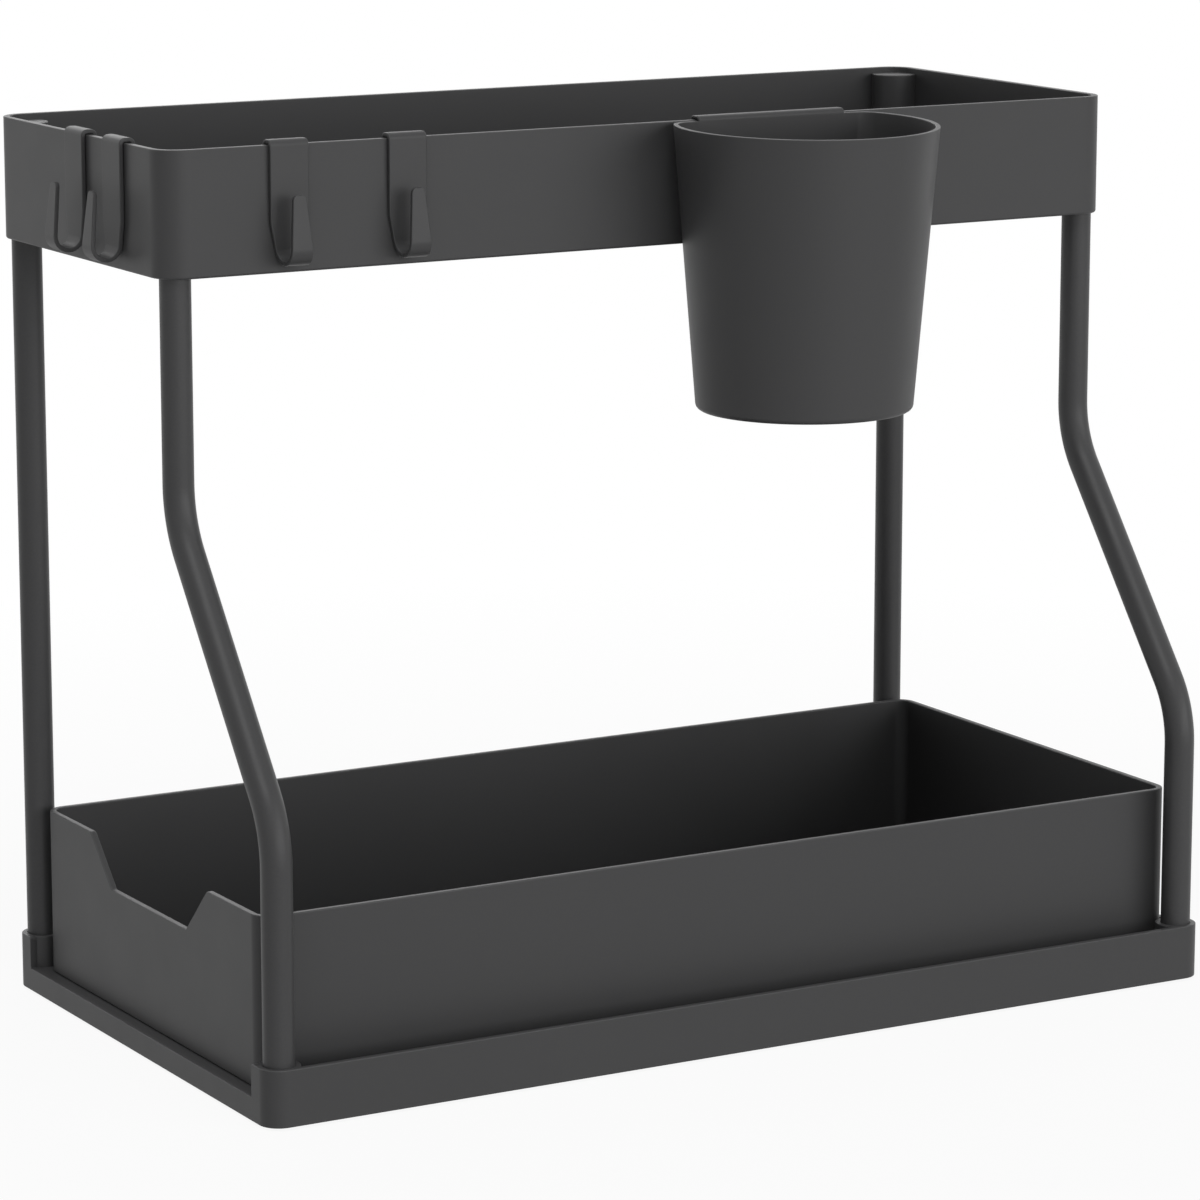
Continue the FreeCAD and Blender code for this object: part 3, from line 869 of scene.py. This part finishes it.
@dataclass
class BaseTray(Assembly):
    """The base: deck, walls, corner bosses, drawer guides, ribs and foot seats."""

    posts: PostPlaces = field(default_factory=PostPlaces)
    half_length: float = 200.0
    half_depth: float = 110.0
    skirt_z: float = 0.8
    skirt_round: float = 0.3
    skirt_steps: int = 2
    deck_z: float = 9.5
    deck_under_z: float = 7.0
    rim_z: float = 21.6
    end_rim_z: float = 18.8
    wall: float = 2.5
    boss: float = 7.8
    corner_lead: float = 4.0
    rim_round: float = 0.4
    inner_round: float = 0.3
    pass_half: float = 96.0
    pass_round: float = 1.0
    pass_steps: int = 5
    rib_half: float = 0.9
    rib_z: float = 1.6
    long_ribs: int = 5
    cross_ribs: int = 9
    guide_y: Flat = (93.55, 95.55)
    guide_half: float = 176.0
    guide_z: float = 13.5
    foot_x: float = 166.0
    foot_y: float = 86.0
    foot_seat: float = 7.1
    foot_seat_z: float = 2.2
    foot_boss: float = 8.9
    screw_hole: float = 2.2
    screw_head: float = 4.0
    screw_head_z: float = 3.2
    bed: float = 0.6

    def build(self) -> list[Piece]:
        """Make and dress the base.

        Returns:
            The base, as a list of one.
        """
        piece = self.shell()
        carve(piece, self.additions(), Carve.JOIN)
        carve(piece, self.openings(), Carve.CUT)
        return [self.dress(piece, TRAY_PLASTIC, "base_tray")]

    def end_run(self, low_z: float) -> list[Flat]:
        """Return the rim's line across one end, from +Y to -Y, dropped between the corners."""
        return dipped_rim(
            self.half_depth - self.boss, (self.pass_half, self.rim_z), (self.pass_half, low_z),
            (self.pass_round, self.rim_round), self.pass_steps,
        )

    def shell(self) -> Piece:
        """Make the base without its ribs, guides, seats and holes.

        Returns:
            The base so far.
        """
        outline = Outline(
            -self.half_length, self.half_length, -self.half_depth, self.half_depth, self.boss, self.rim_z,
            runs={
                Side.RIGHT: self.end_run(self.end_rim_z)[::-1],
                Side.LEFT: self.end_run(self.deck_z),
            },
        )
        skin = Skin()
        for z in (self.deck_under_z, self.skirt_z):
            skin.add(outline.bossed_ring(self.wall, self.boss, self.boss, level(z)))
        for drawn, rise in quarter(self.skirt_round, self.skirt_steps)[::-1]:
            skin.add(outline.ring(drawn, level(self.skirt_z + rise), self.corner_lead))
        for drawn, rise in quarter(self.rim_round):
            # The middle of the rim's outer rounding gets the painted highlight
            painted_highlight = float(0 < drawn < self.rim_round)
            skin.add(outline.ring(drawn, below(rise), self.corner_lead), painted_highlight)
        for drawn, rise in quarter(self.inner_round, SMALL_EDGE_STEPS)[::-1]:
            radius = self.boss - drawn
            skin.add(outline.bossed_ring(self.wall - drawn, self.boss, radius, below(rise, self.deck_z)))
        skin.add(outline.bossed_ring(self.wall, self.boss, self.boss, level(self.deck_z)))
        return skin.piece("base_tray_piece")

    def feet(self) -> list[Flat]:
        """Return the places of the foot pads."""
        return [(0.0, 0.0)] + [(x * self.foot_x, y * self.foot_y) for x in (-1, 1) for y in (-1, 1)]

    def ribs(self, end: float, count: int) -> list[Flat]:
        """Return where each of a row of ribs starts and stops, evenly spaced between two walls."""
        middles = [-end + 2 * end * (i + 1) / (count + 1) for i in range(count)]
        return [(middle - self.rib_half, middle + self.rib_half) for middle in middles]

    def additions(self) -> list[Piece]:
        """Make the ribs, guides and foot bosses, each bedded in the deck or the walls.

        Returns:
            Their meshes.
        """
        x_end = self.half_length - self.wall + self.bed
        y_end = self.half_depth - self.wall + self.bed
        top = self.deck_under_z + self.bed
        made = [block((-x_end, x_end), y, (self.rib_z, top)) for y in self.ribs(y_end, self.long_ribs)]
        made += [block(x, (-y_end, y_end), (self.rib_z, top)) for x in self.ribs(x_end, self.cross_ribs)]
        for side in (-1, 1):
            low, high = sorted(side * y for y in self.guide_y)
            guide_z = (self.deck_z - self.bed, self.guide_z)
            made.append(block((-self.guide_half, self.guide_half), (low, high), guide_z))
        boss = [(self.foot_boss, self.skirt_z), (self.foot_boss, top)]
        return made + [drum(place, boss) for place in self.feet()]

    def openings(self) -> list[Piece]:
        """Make the forms of the post sockets, screw holes and foot seats.

        Returns:
            Their meshes.
        """
        under = self.skirt_z - OVERCUT
        socket = [
            (self.screw_head, under),
            (self.screw_head, self.screw_head_z),
            (self.screw_hole, self.screw_head_z),
            (self.screw_hole, self.posts.foot_z),
            (self.posts.socket_radius, self.posts.foot_z),
            (self.posts.socket_radius, self.rim_z + OVERCUT),
        ]
        seat = [(self.foot_seat, under), (self.foot_seat, self.foot_seat_z)]
        made = [drum(place, socket) for place in self.posts.feet().values()]
        return made + [drum(place, seat) for place in self.feet()]


@dataclass
class Drawer(Assembly):
    """The drawer: an open box on skids, with a finger notch in its pull end.

    Its outer wall reaches down to the level of the skids.
    """

    left_x: float = -194.4
    right_x: float = 195.0
    half_depth: float = 92.75
    bottom_z: float = 10.3
    rim_z: float = 72.4
    wall: float = 2.4
    floor: float = 2.4
    corner: float = 7.0
    rim_round: float = 0.5
    foot_round: float = 0.4
    floor_round: float = 2.0
    floor_steps: int = 5
    notch_top: float = 50.2
    notch_bottom: float = 32.1
    notch_depth: float = 18.2
    notch_shoulder: float = 2.6
    notch_corner: float = 2.0
    notch_steps: int = 6
    skid_y: float = 78.75
    skid_half: float = 2.0
    skid_z: float = 9.8
    skid_bed: float = 0.6

    def build(self) -> list[Piece]:
        """Make and dress the drawer.

        Returns:
            The drawer, as a list of one.
        """
        piece = self.shell()
        x = (self.left_x + self.corner, self.right_x - self.corner)
        z = (self.skid_z, self.bottom_z + self.skid_bed)
        middles = (-self.skid_y, self.skid_y)
        skids = [block(x, (middle - self.skid_half, middle + self.skid_half), z) for middle in middles]
        carve(piece, skids, Carve.JOIN)
        return [self.dress(piece, TRAY_PLASTIC, "drawer")]

    def notch_run(self) -> list[Flat]:
        """Return the rim's line round the finger notch, from +Y to -Y."""
        return dipped_rim(
            self.half_depth - self.corner, (self.notch_top, self.rim_z),
            (self.notch_bottom, self.rim_z - self.notch_depth),
            (self.notch_shoulder, self.notch_corner), self.notch_steps,
        )

    def shell(self) -> Piece:
        """Make the drawer without its skids.

        Returns:
            The drawer so far.
        """
        outline = Outline(
            self.left_x, self.right_x, -self.half_depth, self.half_depth, self.corner, self.rim_z,
            runs={Side.LEFT: self.notch_run()},
        )
        floor_z = self.bottom_z + self.floor
        skin = Skin()
        for z in (self.bottom_z, self.skid_z):
            skin.add(outline.ring(self.wall, level(z)))
        for drawn, rise in quarter(self.foot_round)[::-1]:
            skin.add(outline.ring(drawn, level(self.skid_z + rise)))
        # The rounded rim gets the painted highlight that lip gives
        for inset, rise, painted_highlight in lip(self.wall, self.rim_round):
            skin.add(outline.ring(inset, below(rise)), painted_highlight)
        for drawn, rise in quarter(self.floor_round, self.floor_steps):
            skin.add(outline.ring(self.wall + drawn, level(floor_z + rise)))
        return skin.piece("drawer_piece")


@dataclass
class UpperTray(Assembly):
    """The upper tray: an open box with a closed socket boss over each post."""

    posts: PostPlaces = field(default_factory=PostPlaces)
    half_length: float = 200.5
    front_y: float = -36.0
    back_y: float = 110.5
    bottom_z: float = 288.6
    rim_z: float = 334.0
    wall: float = 2.5
    floor: float = 2.5
    corner: float = 10.5
    rim_round: float = 0.35
    foot_round: float = 1.0
    floor_round: float = 1.2
    boss: float = 9.0
    boss_z: float = 331.8
    boss_round: float = 0.5
    boss_axis: float = 8.3
    socket_top_z: float = 328.3
    socket_chamfer: float = 0.4

    def build(self) -> list[Piece]:
        """Make and dress the upper tray.

        Returns:
            The tray, as a list of one.
        """
        piece = self.shell()
        carve(piece, self.sockets(), Carve.CUT)
        return [self.dress(piece, TRAY_PLASTIC, "upper_tray")]

    def shell(self) -> Piece:
        """Make the tray with its bosses, before its sockets are cut.

        Returns:
            The tray so far.
        """
        outline = Outline(
            -self.half_length, self.half_length, self.front_y, self.back_y, self.corner, self.rim_z
        )
        floor_z = self.bottom_z + self.floor
        crown = self.boss - self.boss_round
        lead = self.boss_axis + math.sqrt(crown ** 2 - (self.boss_axis - self.wall) ** 2) - self.corner
        skin = Skin()
        for drawn, rise in quarter(self.foot_round)[::-1]:
            skin.add(outline.ring(drawn, level(self.bottom_z + rise), lead))
        # The rounded rim gets the painted highlight that lip gives
        for inset, rise, painted_highlight in lip(self.wall, self.rim_round):
            skin.add(outline.ring(inset, below(rise), lead), painted_highlight)
        skin.add(outline.ring(self.wall, level(self.boss_z), lead))
        for drawn, rise in quarter(self.boss_round, SMALL_EDGE_STEPS)[::-1]:
            edge = level(self.boss_z - rise)
            skin.add(outline.bossed_ring(self.wall, self.boss_axis, self.boss - drawn, edge))
        for drawn, rise in quarter(self.floor_round):
            wall = self.wall + drawn
            skin.add(outline.bossed_ring(wall, self.boss_axis, self.boss + drawn, level(floor_z + rise)))
        return skin.piece("upper_tray_piece")

    def sockets(self) -> list[Piece]:
        """Make the forms of the post sockets, with a chamfered mouth.

        Returns:
            Their meshes.
        """
        radius = self.posts.socket_radius
        mouth = radius + self.socket_chamfer
        stages = [
            (mouth, self.bottom_z - OVERCUT),
            (mouth, self.bottom_z),
            (radius, self.bottom_z + self.socket_chamfer),
            (radius, self.socket_top_z),
        ]
        return [drum(place, stages) for place in self.posts.heads().values()]


@dataclass
class Posts(Assembly):
    """The four tubes between the base and the upper tray, the front two bent back."""

    posts: PostPlaces = field(default_factory=PostPlaces)
    radius: float = 5.65
    bore: float = 4.65
    bend: float = 40.0
    bend_steps: int = 14
    low_bend_z: float = 105.5
    high_bend_z: float = 201.8
    sides: int = 40

    def build(self) -> list[Piece]:
        """Make and dress the tubes.

        Returns:
            The four tubes.
        """
        heads = self.posts.heads()
        made = []
        for name, foot in self.posts.feet().items():
            tube = self.tube(name, foot, heads[name])
            made.append(self.dress(tube, TUBE_COAT, name + "_post"))
        return made

    def line(self, foot: Flat, head: Flat) -> list[LinePoint]:
        """Draw a tube's centre line as (y, z), with an S bend where its ends are apart.

        Args:
            foot: The tube's place in the base.
            head: Its place in the upper tray.

        Returns:
            The line, from the bottom up.
        """
        start = (foot[1], self.posts.foot_z)
        end = (head[1], self.posts.head_z)
        if foot[1] == head[1]:
            return rounded_line([start, end], [], self.bend_steps)
        bends = [(foot[1], self.low_bend_z), (head[1], self.high_bend_z)]
        return rounded_line([start, *bends, end], [self.bend, self.bend], self.bend_steps)

    def tube(self, name: str, foot: Flat, head: Flat) -> Piece:
        """Make one hollow tube.

        Args:
            name: The post's name.
            foot: Its place in the base.
            head: Its place in the upper tray.

        Returns:
            The tube.
        """
        line = self.line(foot, head)
        skin = Skin()
        for radius, points in ((self.radius, line), (self.bore, line[::-1])):
            for point in points:
                skin.add([self.on_tube(foot[0], point, radius, i) for i in range(self.sides)])
        return skin.piece(name + "_tube", looped=True)

    def on_tube(self, x: float, point: LinePoint, radius: float, i: int) -> Vector:
        """Find a point on a tube's skin.

        Args:
            x: The tube's place along the base.
            point: The point of its line that the skin goes round.
            radius: The skin's radius.
            i: The point's number on the way round.

        Returns:
            The point.
        """
        spoke = direction(math.tau * i / self.sides) * radius
        across = Vector((-point.way.y, point.way.x)) * spoke.y
        return Vector((x + spoke.x, point.place.x + across.x, point.place.y + across.y))


@dataclass(frozen=True)
class Strip:
    """A flat strip with rounded edges, bent along a line of (distance outwards, height).

    Its ends are rounded too, and keep a blunt share of the edges' radius.
    """

    thickness: float
    edge_round: float
    blunt: float = 0.1

    def section(self, half_width: float, drawn: float) -> list[Flat]:
        """Draw the strip's section as (across, through).

        Args:
            half_width: Half the strip's width.
            drawn: How far the section is drawn in on all sides.

        Returns:
            The section's points.
        """
        half = self.thickness / 2 - drawn
        width = half_width - drawn
        radius = max(self.edge_round - drawn, self.edge_round * self.blunt)
        points = []
        for side, (sx, sy) in zip(Side, ((1, -1), (1, 1), (-1, 1), (-1, -1))):
            for i in range(SMALL_EDGE_STEPS + 1):
                turn = direction(side.start + math.pi / 2 * i / SMALL_EDGE_STEPS) * radius
                points.append((sx * (width - radius) + turn.x, sy * (half - radius) + turn.y))
        return points

    def skin(self, line: list[LinePoint], widths: list[float], place: Placing) -> Skin:
        """Wrap the strip along a line.

        Args:
            line: The middle line, each point with its direction.
            widths: Half the strip's width at each point.
            place: The rule from (across, outwards, up) to the part's frame.

        Returns:
            The strip's skin, with rounded ends.
        """
        made = Skin()
        shrink = quarter(self.edge_round * (1 - self.blunt), SMALL_EDGE_STEPS)
        stops = [(line[0], widths[0], drawn, rise) for drawn, rise in shrink[::-1]]
        stops += [(point, width, 0.0, 0.0) for point, width in zip(line[1:-1], widths[1:-1])]
        stops += [(line[-1], widths[-1], drawn, -rise) for drawn, rise in shrink]
        for point, width, drawn, back in stops:
            normal = Vector((-point.way.y, point.way.x))
            middle = point.place + point.way * back
            ring = []
            for across, through in self.section(width, drawn):
                spot = middle + normal * through
                ring.append(place(across, spot.x, spot.y))
            made.add(ring)
        return made


@dataclass
class Hook(Assembly):
    """A hook over one rim of the upper tray: a bent strip that ends in a narrow tongue."""

    rim: Rim = Rim.FRONT
    along: float = 0.0
    front_y: float = -36.0
    left_x: float = -200.5
    rim_z: float = 334.0
    rim_wall: float = 2.5
    clearance: float = 0.3
    thickness: float = 1.6
    edge_round: float = 0.35
    half_width: float = 7.5
    top_bend: float = 1.5
    inner_leg: float = 14.0
    drop: float = 42.2
    bend: float = 4.95
    bend_steps: int = 7
    tongue: float = 19.0
    lean: float = math.radians(6)
    neck: float = 14.0
    foot_half: float = 4.5
    tip_half: float = 2.5
    tip_round: float = 2.0
    tip_blunt: float = 0.1

    def build(self) -> list[Piece]:
        """Make and dress the hook.

        Returns:
            The hook, as a list of one.
        """
        line = self.line()
        strip = Strip(self.thickness, self.edge_round)
        piece = strip.skin(line, self.widths(line), self.place).piece(self.body + "_strip")
        return [self.dress(piece, HOOK_PLASTIC, self.body)]

    @property
    def low(self) -> float:
        """The height of the strip's middle line at its lowest, from the rim."""
        return -self.drop + self.thickness / 2

    @property
    def off(self) -> float:
        """How far the strip's middle line stays from the rim's faces."""
        return self.clearance + self.thickness / 2

    def place(self, across: float, outwards: float, up: float) -> Vector:
        """Place a point of the hook in the part's frame.

        Args:
            across: How far it is from the hook's middle, along the rim.
            outwards: How far it is outside the tray's outer face.
            up: How far it is above the rim.

        Returns:
            The point.
        """
        if self.rim is Rim.FRONT:
            return Vector((self.along + across, self.front_y - outwards, self.rim_z + up))
        return Vector((self.left_x - outwards, self.along - across, self.rim_z + up))

    def line(self) -> list[LinePoint]:
        """Draw the strip's middle line.

        Returns:
            The line, from the leg inside the tray to the tongue's tip.
        """
        inside = -self.rim_wall - self.off
        reach = self.bend * math.tan((math.pi / 2 + self.lean) / 2)
        toe = self.off + self.bend + reach
        length = reach + self.tongue
        corners = [
            (inside, self.off - self.inner_leg),
            (inside, self.off),
            (self.off, self.off),
            (self.off, self.low),
            (toe, self.low),
            (toe - math.sin(self.lean) * length, self.low + math.cos(self.lean) * length),
        ]
        line = rounded_line(corners, [self.top_bend, self.top_bend, self.bend, self.bend], self.bend_steps)
        end = line.pop()
        for back, _ in quarter(self.tip_round, self.bend_steps)[::-1]:
            line.append(LinePoint(end.place - end.way * back, end.way))
        after_top_bends = 1 + 2 * (self.bend_steps + 1)
        neck = LinePoint(Vector((self.off, self.low + self.neck)), Vector((0, -1)))
        line.insert(after_top_bends, neck)
        return line

    def widths(self, line: list[LinePoint]) -> list[float]:
        """Work out how wide the strip is along its line.

        Args:
            line: The strip's middle line.

        Returns:
            Half the width at each point of the line.
        """
        tip = line[-1].place
        middle = self.off + self.bend
        foot_z = self.low - self.thickness
        made = []
        for point in line:
            if point.place.x <= middle:
                share = (point.place.y - foot_z) / (self.low + self.neck - foot_z)
                made.append(self.foot_half + (self.half_width - self.foot_half) * min(share, 1.0))
                continue
            share = max((point.place.y - self.low) / (tip.y - self.low), 0.0)
            half = self.foot_half + (self.tip_half - self.foot_half) * share
            left = self.tip_round - min((tip - point.place).length, self.tip_round)
            curve = math.sqrt(self.tip_round ** 2 - left ** 2)
            rounded = curve * (1 - self.tip_blunt) + self.tip_round * self.tip_blunt
            made.append(half - self.tip_round + rounded)
        return made


@dataclass
class HangingCup(Assembly):
    """The cup: tapered and round, with a flat back and a hanger over the tray's front rim."""

    centre_x: float = 46.8
    front_y: float = -36.0
    rim_z: float = 334.0
    rim_wall: float = 2.5
    clearance: float = 0.3
    rim_drop: float = 0.3
    rim_lean: float = math.radians(1.1)
    height: float = 105.7
    rim_radius: float = 49.0
    foot_radius: float = 40.2
    axis: float = 25.8
    corner: float = 9.0
    least_corner: float = 0.2
    wall: float = 1.8
    floor: float = 2.0
    foot_round: float = 2.0
    lip_round: float = 0.35
    floor_round: float = 2.0
    hanger_half: float = 31.6
    hanger_thickness: float = 1.2
    hanger_edge: float = 0.4
    hanger_proud: float = 0.02
    hanger_bend: float = 1.2
    hanger_steps: int = 6
    hanger_leg: float = 14.0
    hanger_depth: float = 5.0
    front_steps: int = 96
    corner_steps: int = 8

    def build(self) -> list[Piece]:
        """Make and dress the cup with its hanger.

        Returns:
            The cup, as a list of one.
        """
        piece = self.shell()
        carve(piece, [self.hanger()], Carve.JOIN)
        return [self.dress(piece, CUP_PLASTIC, "hanging_cup")]

    def place(self, across: float, outwards: float, up: float) -> Vector:
        """Return a point on the cup in the part's frame, up being from the tray's rim."""
        return Vector((self.centre_x + across, self.front_y - outwards, self.rim_z + up))

    def ring(self, up: float, inset: float) -> list[Vector]:
        """Walk the cup's round wall and flat back once.

        Args:
            up: The height from the tray's rim, at the cup's back.
            inset: How far inside the cup's outer face the walk stays.

        Returns:
            The ring's points.
        """
        share = (up + self.rim_drop + self.height) / self.height
        radius = self.foot_radius + (self.rim_radius - self.foot_radius) * share - inset
        fall = math.tan(self.rim_lean) * share
        back = self.clearance + inset
        corner = max(self.corner - inset, self.least_corner)
        drop = self.axis - back - corner
        across = math.sqrt((radius - corner) ** 2 - drop ** 2)
        turn = math.atan2(drop, across)
        points = []
        for i in range(self.front_steps + 1):
            spoke = direction(turn - (math.pi + 2 * turn) * i / self.front_steps) * radius
            points.append((spoke.x, self.axis - spoke.y))
        for side in (-1, 1):
            for i in range(1, self.corner_steps + 1):
                step = i if side < 0 else self.corner_steps - i
                spoke = direction(turn + (math.pi / 2 - turn) * step / self.corner_steps) * corner
                points.append((side * (across + spoke.x), back + corner - spoke.y))
        return [self.place(x, y, up - fall * (y - self.clearance)) for x, y in points]

    def shell(self) -> Piece:
        """Make the cup without its hanger.

        Returns:
            The cup so far.
        """
        top = -self.rim_drop
        bottom = top - self.height
        skin = Skin()
        for drawn, rise in quarter(self.foot_round)[::-1]:
            skin.add(self.ring(bottom + rise, drawn))
        # The rounded lip gets the painted highlight that lip gives
        for inset, rise, painted_highlight in lip(self.wall, self.lip_round):
            skin.add(self.ring(top - rise, inset), painted_highlight)
        for drawn, rise in quarter(self.floor_round):
            skin.add(self.ring(bottom + self.floor + rise, self.wall + drawn))
        return skin.piece("hanging_cup_piece")

    def hanger(self) -> Piece:
        """Make the strip that hangs the cup over the rim.

        Returns:
            The strip, which ends nearly flush with the cup's inner back.
        """
        inside = -self.rim_wall - self.clearance - self.hanger_thickness / 2
        over = self.clearance + self.hanger_thickness / 2
        outside = self.clearance + self.wall - self.hanger_thickness / 2 + self.hanger_proud
        corners = [
            (inside, over - self.hanger_leg),
            (inside, over),
            (outside, over),
            (outside, -self.hanger_depth),
        ]
        line = rounded_line(corners, [self.hanger_bend, self.hanger_bend], self.hanger_steps)
        strip = Strip(self.hanger_thickness, self.hanger_edge)
        return strip.skin(line, [self.hanger_half] * len(line), self.place).piece(CARVER)


@dataclass
class Fittings(Assembly):
    """The hidden fittings that keep their CAD solids: tube caps, inserts, screws and foot pads."""

    finishes: dict[str, Finish] = field(default_factory=lambda: {
        "_post_cap": PLUG_PLASTIC,
        "_post_insert": PLUG_PLASTIC,
        "_base_screw": SCREW_STEEL,
        "_foot_pad": FOOT_RUBBER,
    })

    def build(self) -> list[Piece]:
        """Finish the CAD nodes of the fittings.

        Returns:
            The nodes.
        """
        dressed = []
        for name, node in sorted(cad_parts.items()):
            for ending, finish in self.finishes.items():
                if name.endswith(ending):
                    node.data.materials.clear()
                    node.data.materials.append(finish.material())
                    LOG.info("%s: kept, finished as %s", name, finish.name)
                    dressed.append(node)
        return dressed


@dataclass(frozen=True)
class Lamp:
    """A soft square studio lamp that points at the object.

    Its azimuth is 0 in front of the object and grows towards the right, both angles in degrees.
    """

    name: str
    azimuth: float
    elevation: float
    power: float
    distance: float = 7.0
    size: float = 4.0
    aim_z: float = 0.15

    def hang(self) -> None:
        """Add the lamp to the scene."""
        data = bpy.data.lights.new(self.name, "AREA")
        data.shape = "SQUARE"
        data.size = self.size
        data.energy = self.power
        lamp = bpy.data.objects.new(self.name, data)
        turn = math.radians(self.azimuth)
        rise = math.radians(self.elevation)
        away = Vector((math.sin(turn) * math.cos(rise), -math.cos(turn) * math.cos(rise), math.sin(rise)))
        lamp.location = away * self.distance + Vector((0, 0, self.aim_z))
        lamp.rotation_mode = "QUATERNION"
        lamp.rotation_quaternion = away.to_track_quat("Z", "Y")
        lamp.visible_camera = False
        bpy.context.scene.collection.objects.link(lamp)


@dataclass(frozen=True)
class Studio:
    """A white studio: pale floor, white surroundings and soft lamps all round."""

    floor_half: float = 14.0
    floor_drop: float = 0.0002
    floor_grey: float = 0.85
    floor_lift: float = 0.92
    floor_fade: Flat = (0.3, 0.8)
    lamps: tuple[Lamp, ...] = (
        Lamp("front_right_lamp", 30, 12, 160.0),
        Lamp("front_lamp", 0, 4, 151.0),
        Lamp("front_left_high_lamp", -35, 62, 195.0),
        Lamp("left_lamp", -120, 12, 8.0),
        Lamp("back_left_lamp", -150, 12, 28.0),
        Lamp("back_right_lamp", 125, 25, 36.0),
        Lamp("back_lamp", 170, 30, 95.0),
        Lamp("top_lamp", 0, 89, 62.0),
    )

    def set_up(self) -> None:
        """Make the floor, the surroundings and the lamps."""
        self.floor()
        self.surroundings()
        for lamp in self.lamps:
            lamp.hang()

    @staticmethod
    def seen(board: Board) -> Socket:
        """Tell rays that see the background itself from rays that carry its light.

        Args:
            board: The tree to which the nodes are added.

        Returns:
            1 on the first kind of ray and 0 on the second.
        """
        rays = board.add("ShaderNodeLightPath").outputs
        first = board.combine("MAXIMUM", rays["Is Camera Ray"], rays["Is Glossy Ray"])
        return board.combine("MAXIMUM", first, rays["Is Transmission Ray"])

    def floor(self) -> None:
        """Make the pale floor, which keeps the object's shadow and is white away from it."""
        made = bmesh.new()
        corners = [Vector((x, y)) * self.floor_half for x, y in ((-1, -1), (1, -1), (1, 1), (-1, 1))]
        made.faces.new([made.verts.new((*corner, -self.floor_drop)) for corner in corners])
        plane = linked("studio_floor", made)
        material = bpy.data.materials.new("studio_floor_white")
        material.use_nodes = True
        board = Board(material.node_tree)
        grey = (self.floor_grey, self.floor_grey, self.floor_grey, 1.0)
        matt = board.add("ShaderNodeBsdfDiffuse", Color=grey)
        glow = board.add("ShaderNodeEmission", Strength=1.0)
        mix = board.add("ShaderNodeMixShader")
        away = board.add("ShaderNodeVectorMath", operation="LENGTH")
        board.link(board.add("ShaderNodeTexCoord").outputs["Object"], away.inputs[0])
        near, far = self.floor_fade
        lift = board.spread(away.outputs["Value"], (near, self.floor_lift), (far, 1.0))
        share = board.combine("MULTIPLY", self.seen(board), lift)
        for place, source in enumerate((share, matt.outputs[0], glow.outputs[0])):
            board.link(source, mix.inputs[place])
        out = board.add("ShaderNodeOutputMaterial")
        board.link(mix.outputs[0], out.inputs["Surface"])
        plane.data.materials.append(material)
        plane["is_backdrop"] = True

    def surroundings(self) -> None:
        """Make the world look white without lighting the object."""
        world = bpy.data.worlds.new("studio_world")
        world.use_nodes = True
        board = Board(world.node_tree)
        white = board.add("ShaderNodeBackground", Color=(1.0, 1.0, 1.0, 1.0))
        board.link(self.seen(board), white.inputs["Strength"])
        out = board.add("ShaderNodeOutputWorld")
        board.link(white.outputs[0], out.inputs["Surface"])
        bpy.context.scene.world = world


@dataclass(frozen=True)
class PhotoCamera:
    """The camera at the photograph's viewing angle, far off with a long lens.

    Its focal length is given in the photograph's pixels, with the photograph's width beside it.
    """

    place: tuple[float, float, float] = (-0.92143, -1.59747, 0.51945)
    yaw: float = math.radians(29.8467)
    pitch: float = math.radians(11.343)
    focal_pixels: float = 4961.81
    photo_pixels: float = 1200
    sensor: float = 36.0
    clip: Flat = (0.05, 60.0)

    def stand(self) -> None:
        """Add the camera to the scene."""
        data = bpy.data.cameras.new("photo_camera")
        data.sensor_width = self.sensor
        data.lens = self.focal_pixels / self.photo_pixels * self.sensor
        data.clip_start, data.clip_end = self.clip
        camera = bpy.data.objects.new("photo_camera", data)
        camera.location = self.place
        ahead = Vector((
            math.sin(self.yaw) * math.cos(self.pitch),
            math.cos(self.yaw) * math.cos(self.pitch),
            -math.sin(self.pitch),
        ))
        camera.rotation_mode = "QUATERNION"
        camera.rotation_quaternion = ahead.to_track_quat("-Z", "Y")
        bpy.context.scene.collection.objects.link(camera)
        bpy.context.scene.camera = camera


def assemblies() -> list[Assembly]:
    """Return the sub-assemblies in the order in which they are built."""
    return [
        BaseTray("frame"),
        Drawer("drawer"),
        UpperTray("frame"),
        Posts("frame"),
        Hook("front_hook_left", rim=Rim.FRONT, along=-152.0),
        Hook("front_hook_right", rim=Rim.FRONT, along=-105.1),
        Hook("side_hook_front", rim=Rim.LEFT, along=2.4),
        Hook("side_hook_rear", rim=Rim.LEFT, along=35.0),
        HangingCup("cup"),
        Fittings("frame"),
    ]


def write_sizes() -> None:
    """Work out the CAD model's box and the visual model's box, in metres; the result is not kept."""
    boxes = {"cad": CAD_BOX, "visual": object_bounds()}
    {name: [list(low), list(high)] for name, (low, high) in boxes.items()}


def main() -> None:
    """Build the object, the studio and the camera."""
    logging.basicConfig(level=logging.INFO, format="%(message)s")
    bpy.context.scene.view_settings.view_transform = "Standard"
    for assembly in assemblies():
        made = assembly.build()
        LOG.info("%s: %d pieces", type(assembly).__name__, len(made))
    Studio().set_up()
    PhotoCamera().stand()
    write_sizes()


if __name__ == "__main__":
    main()
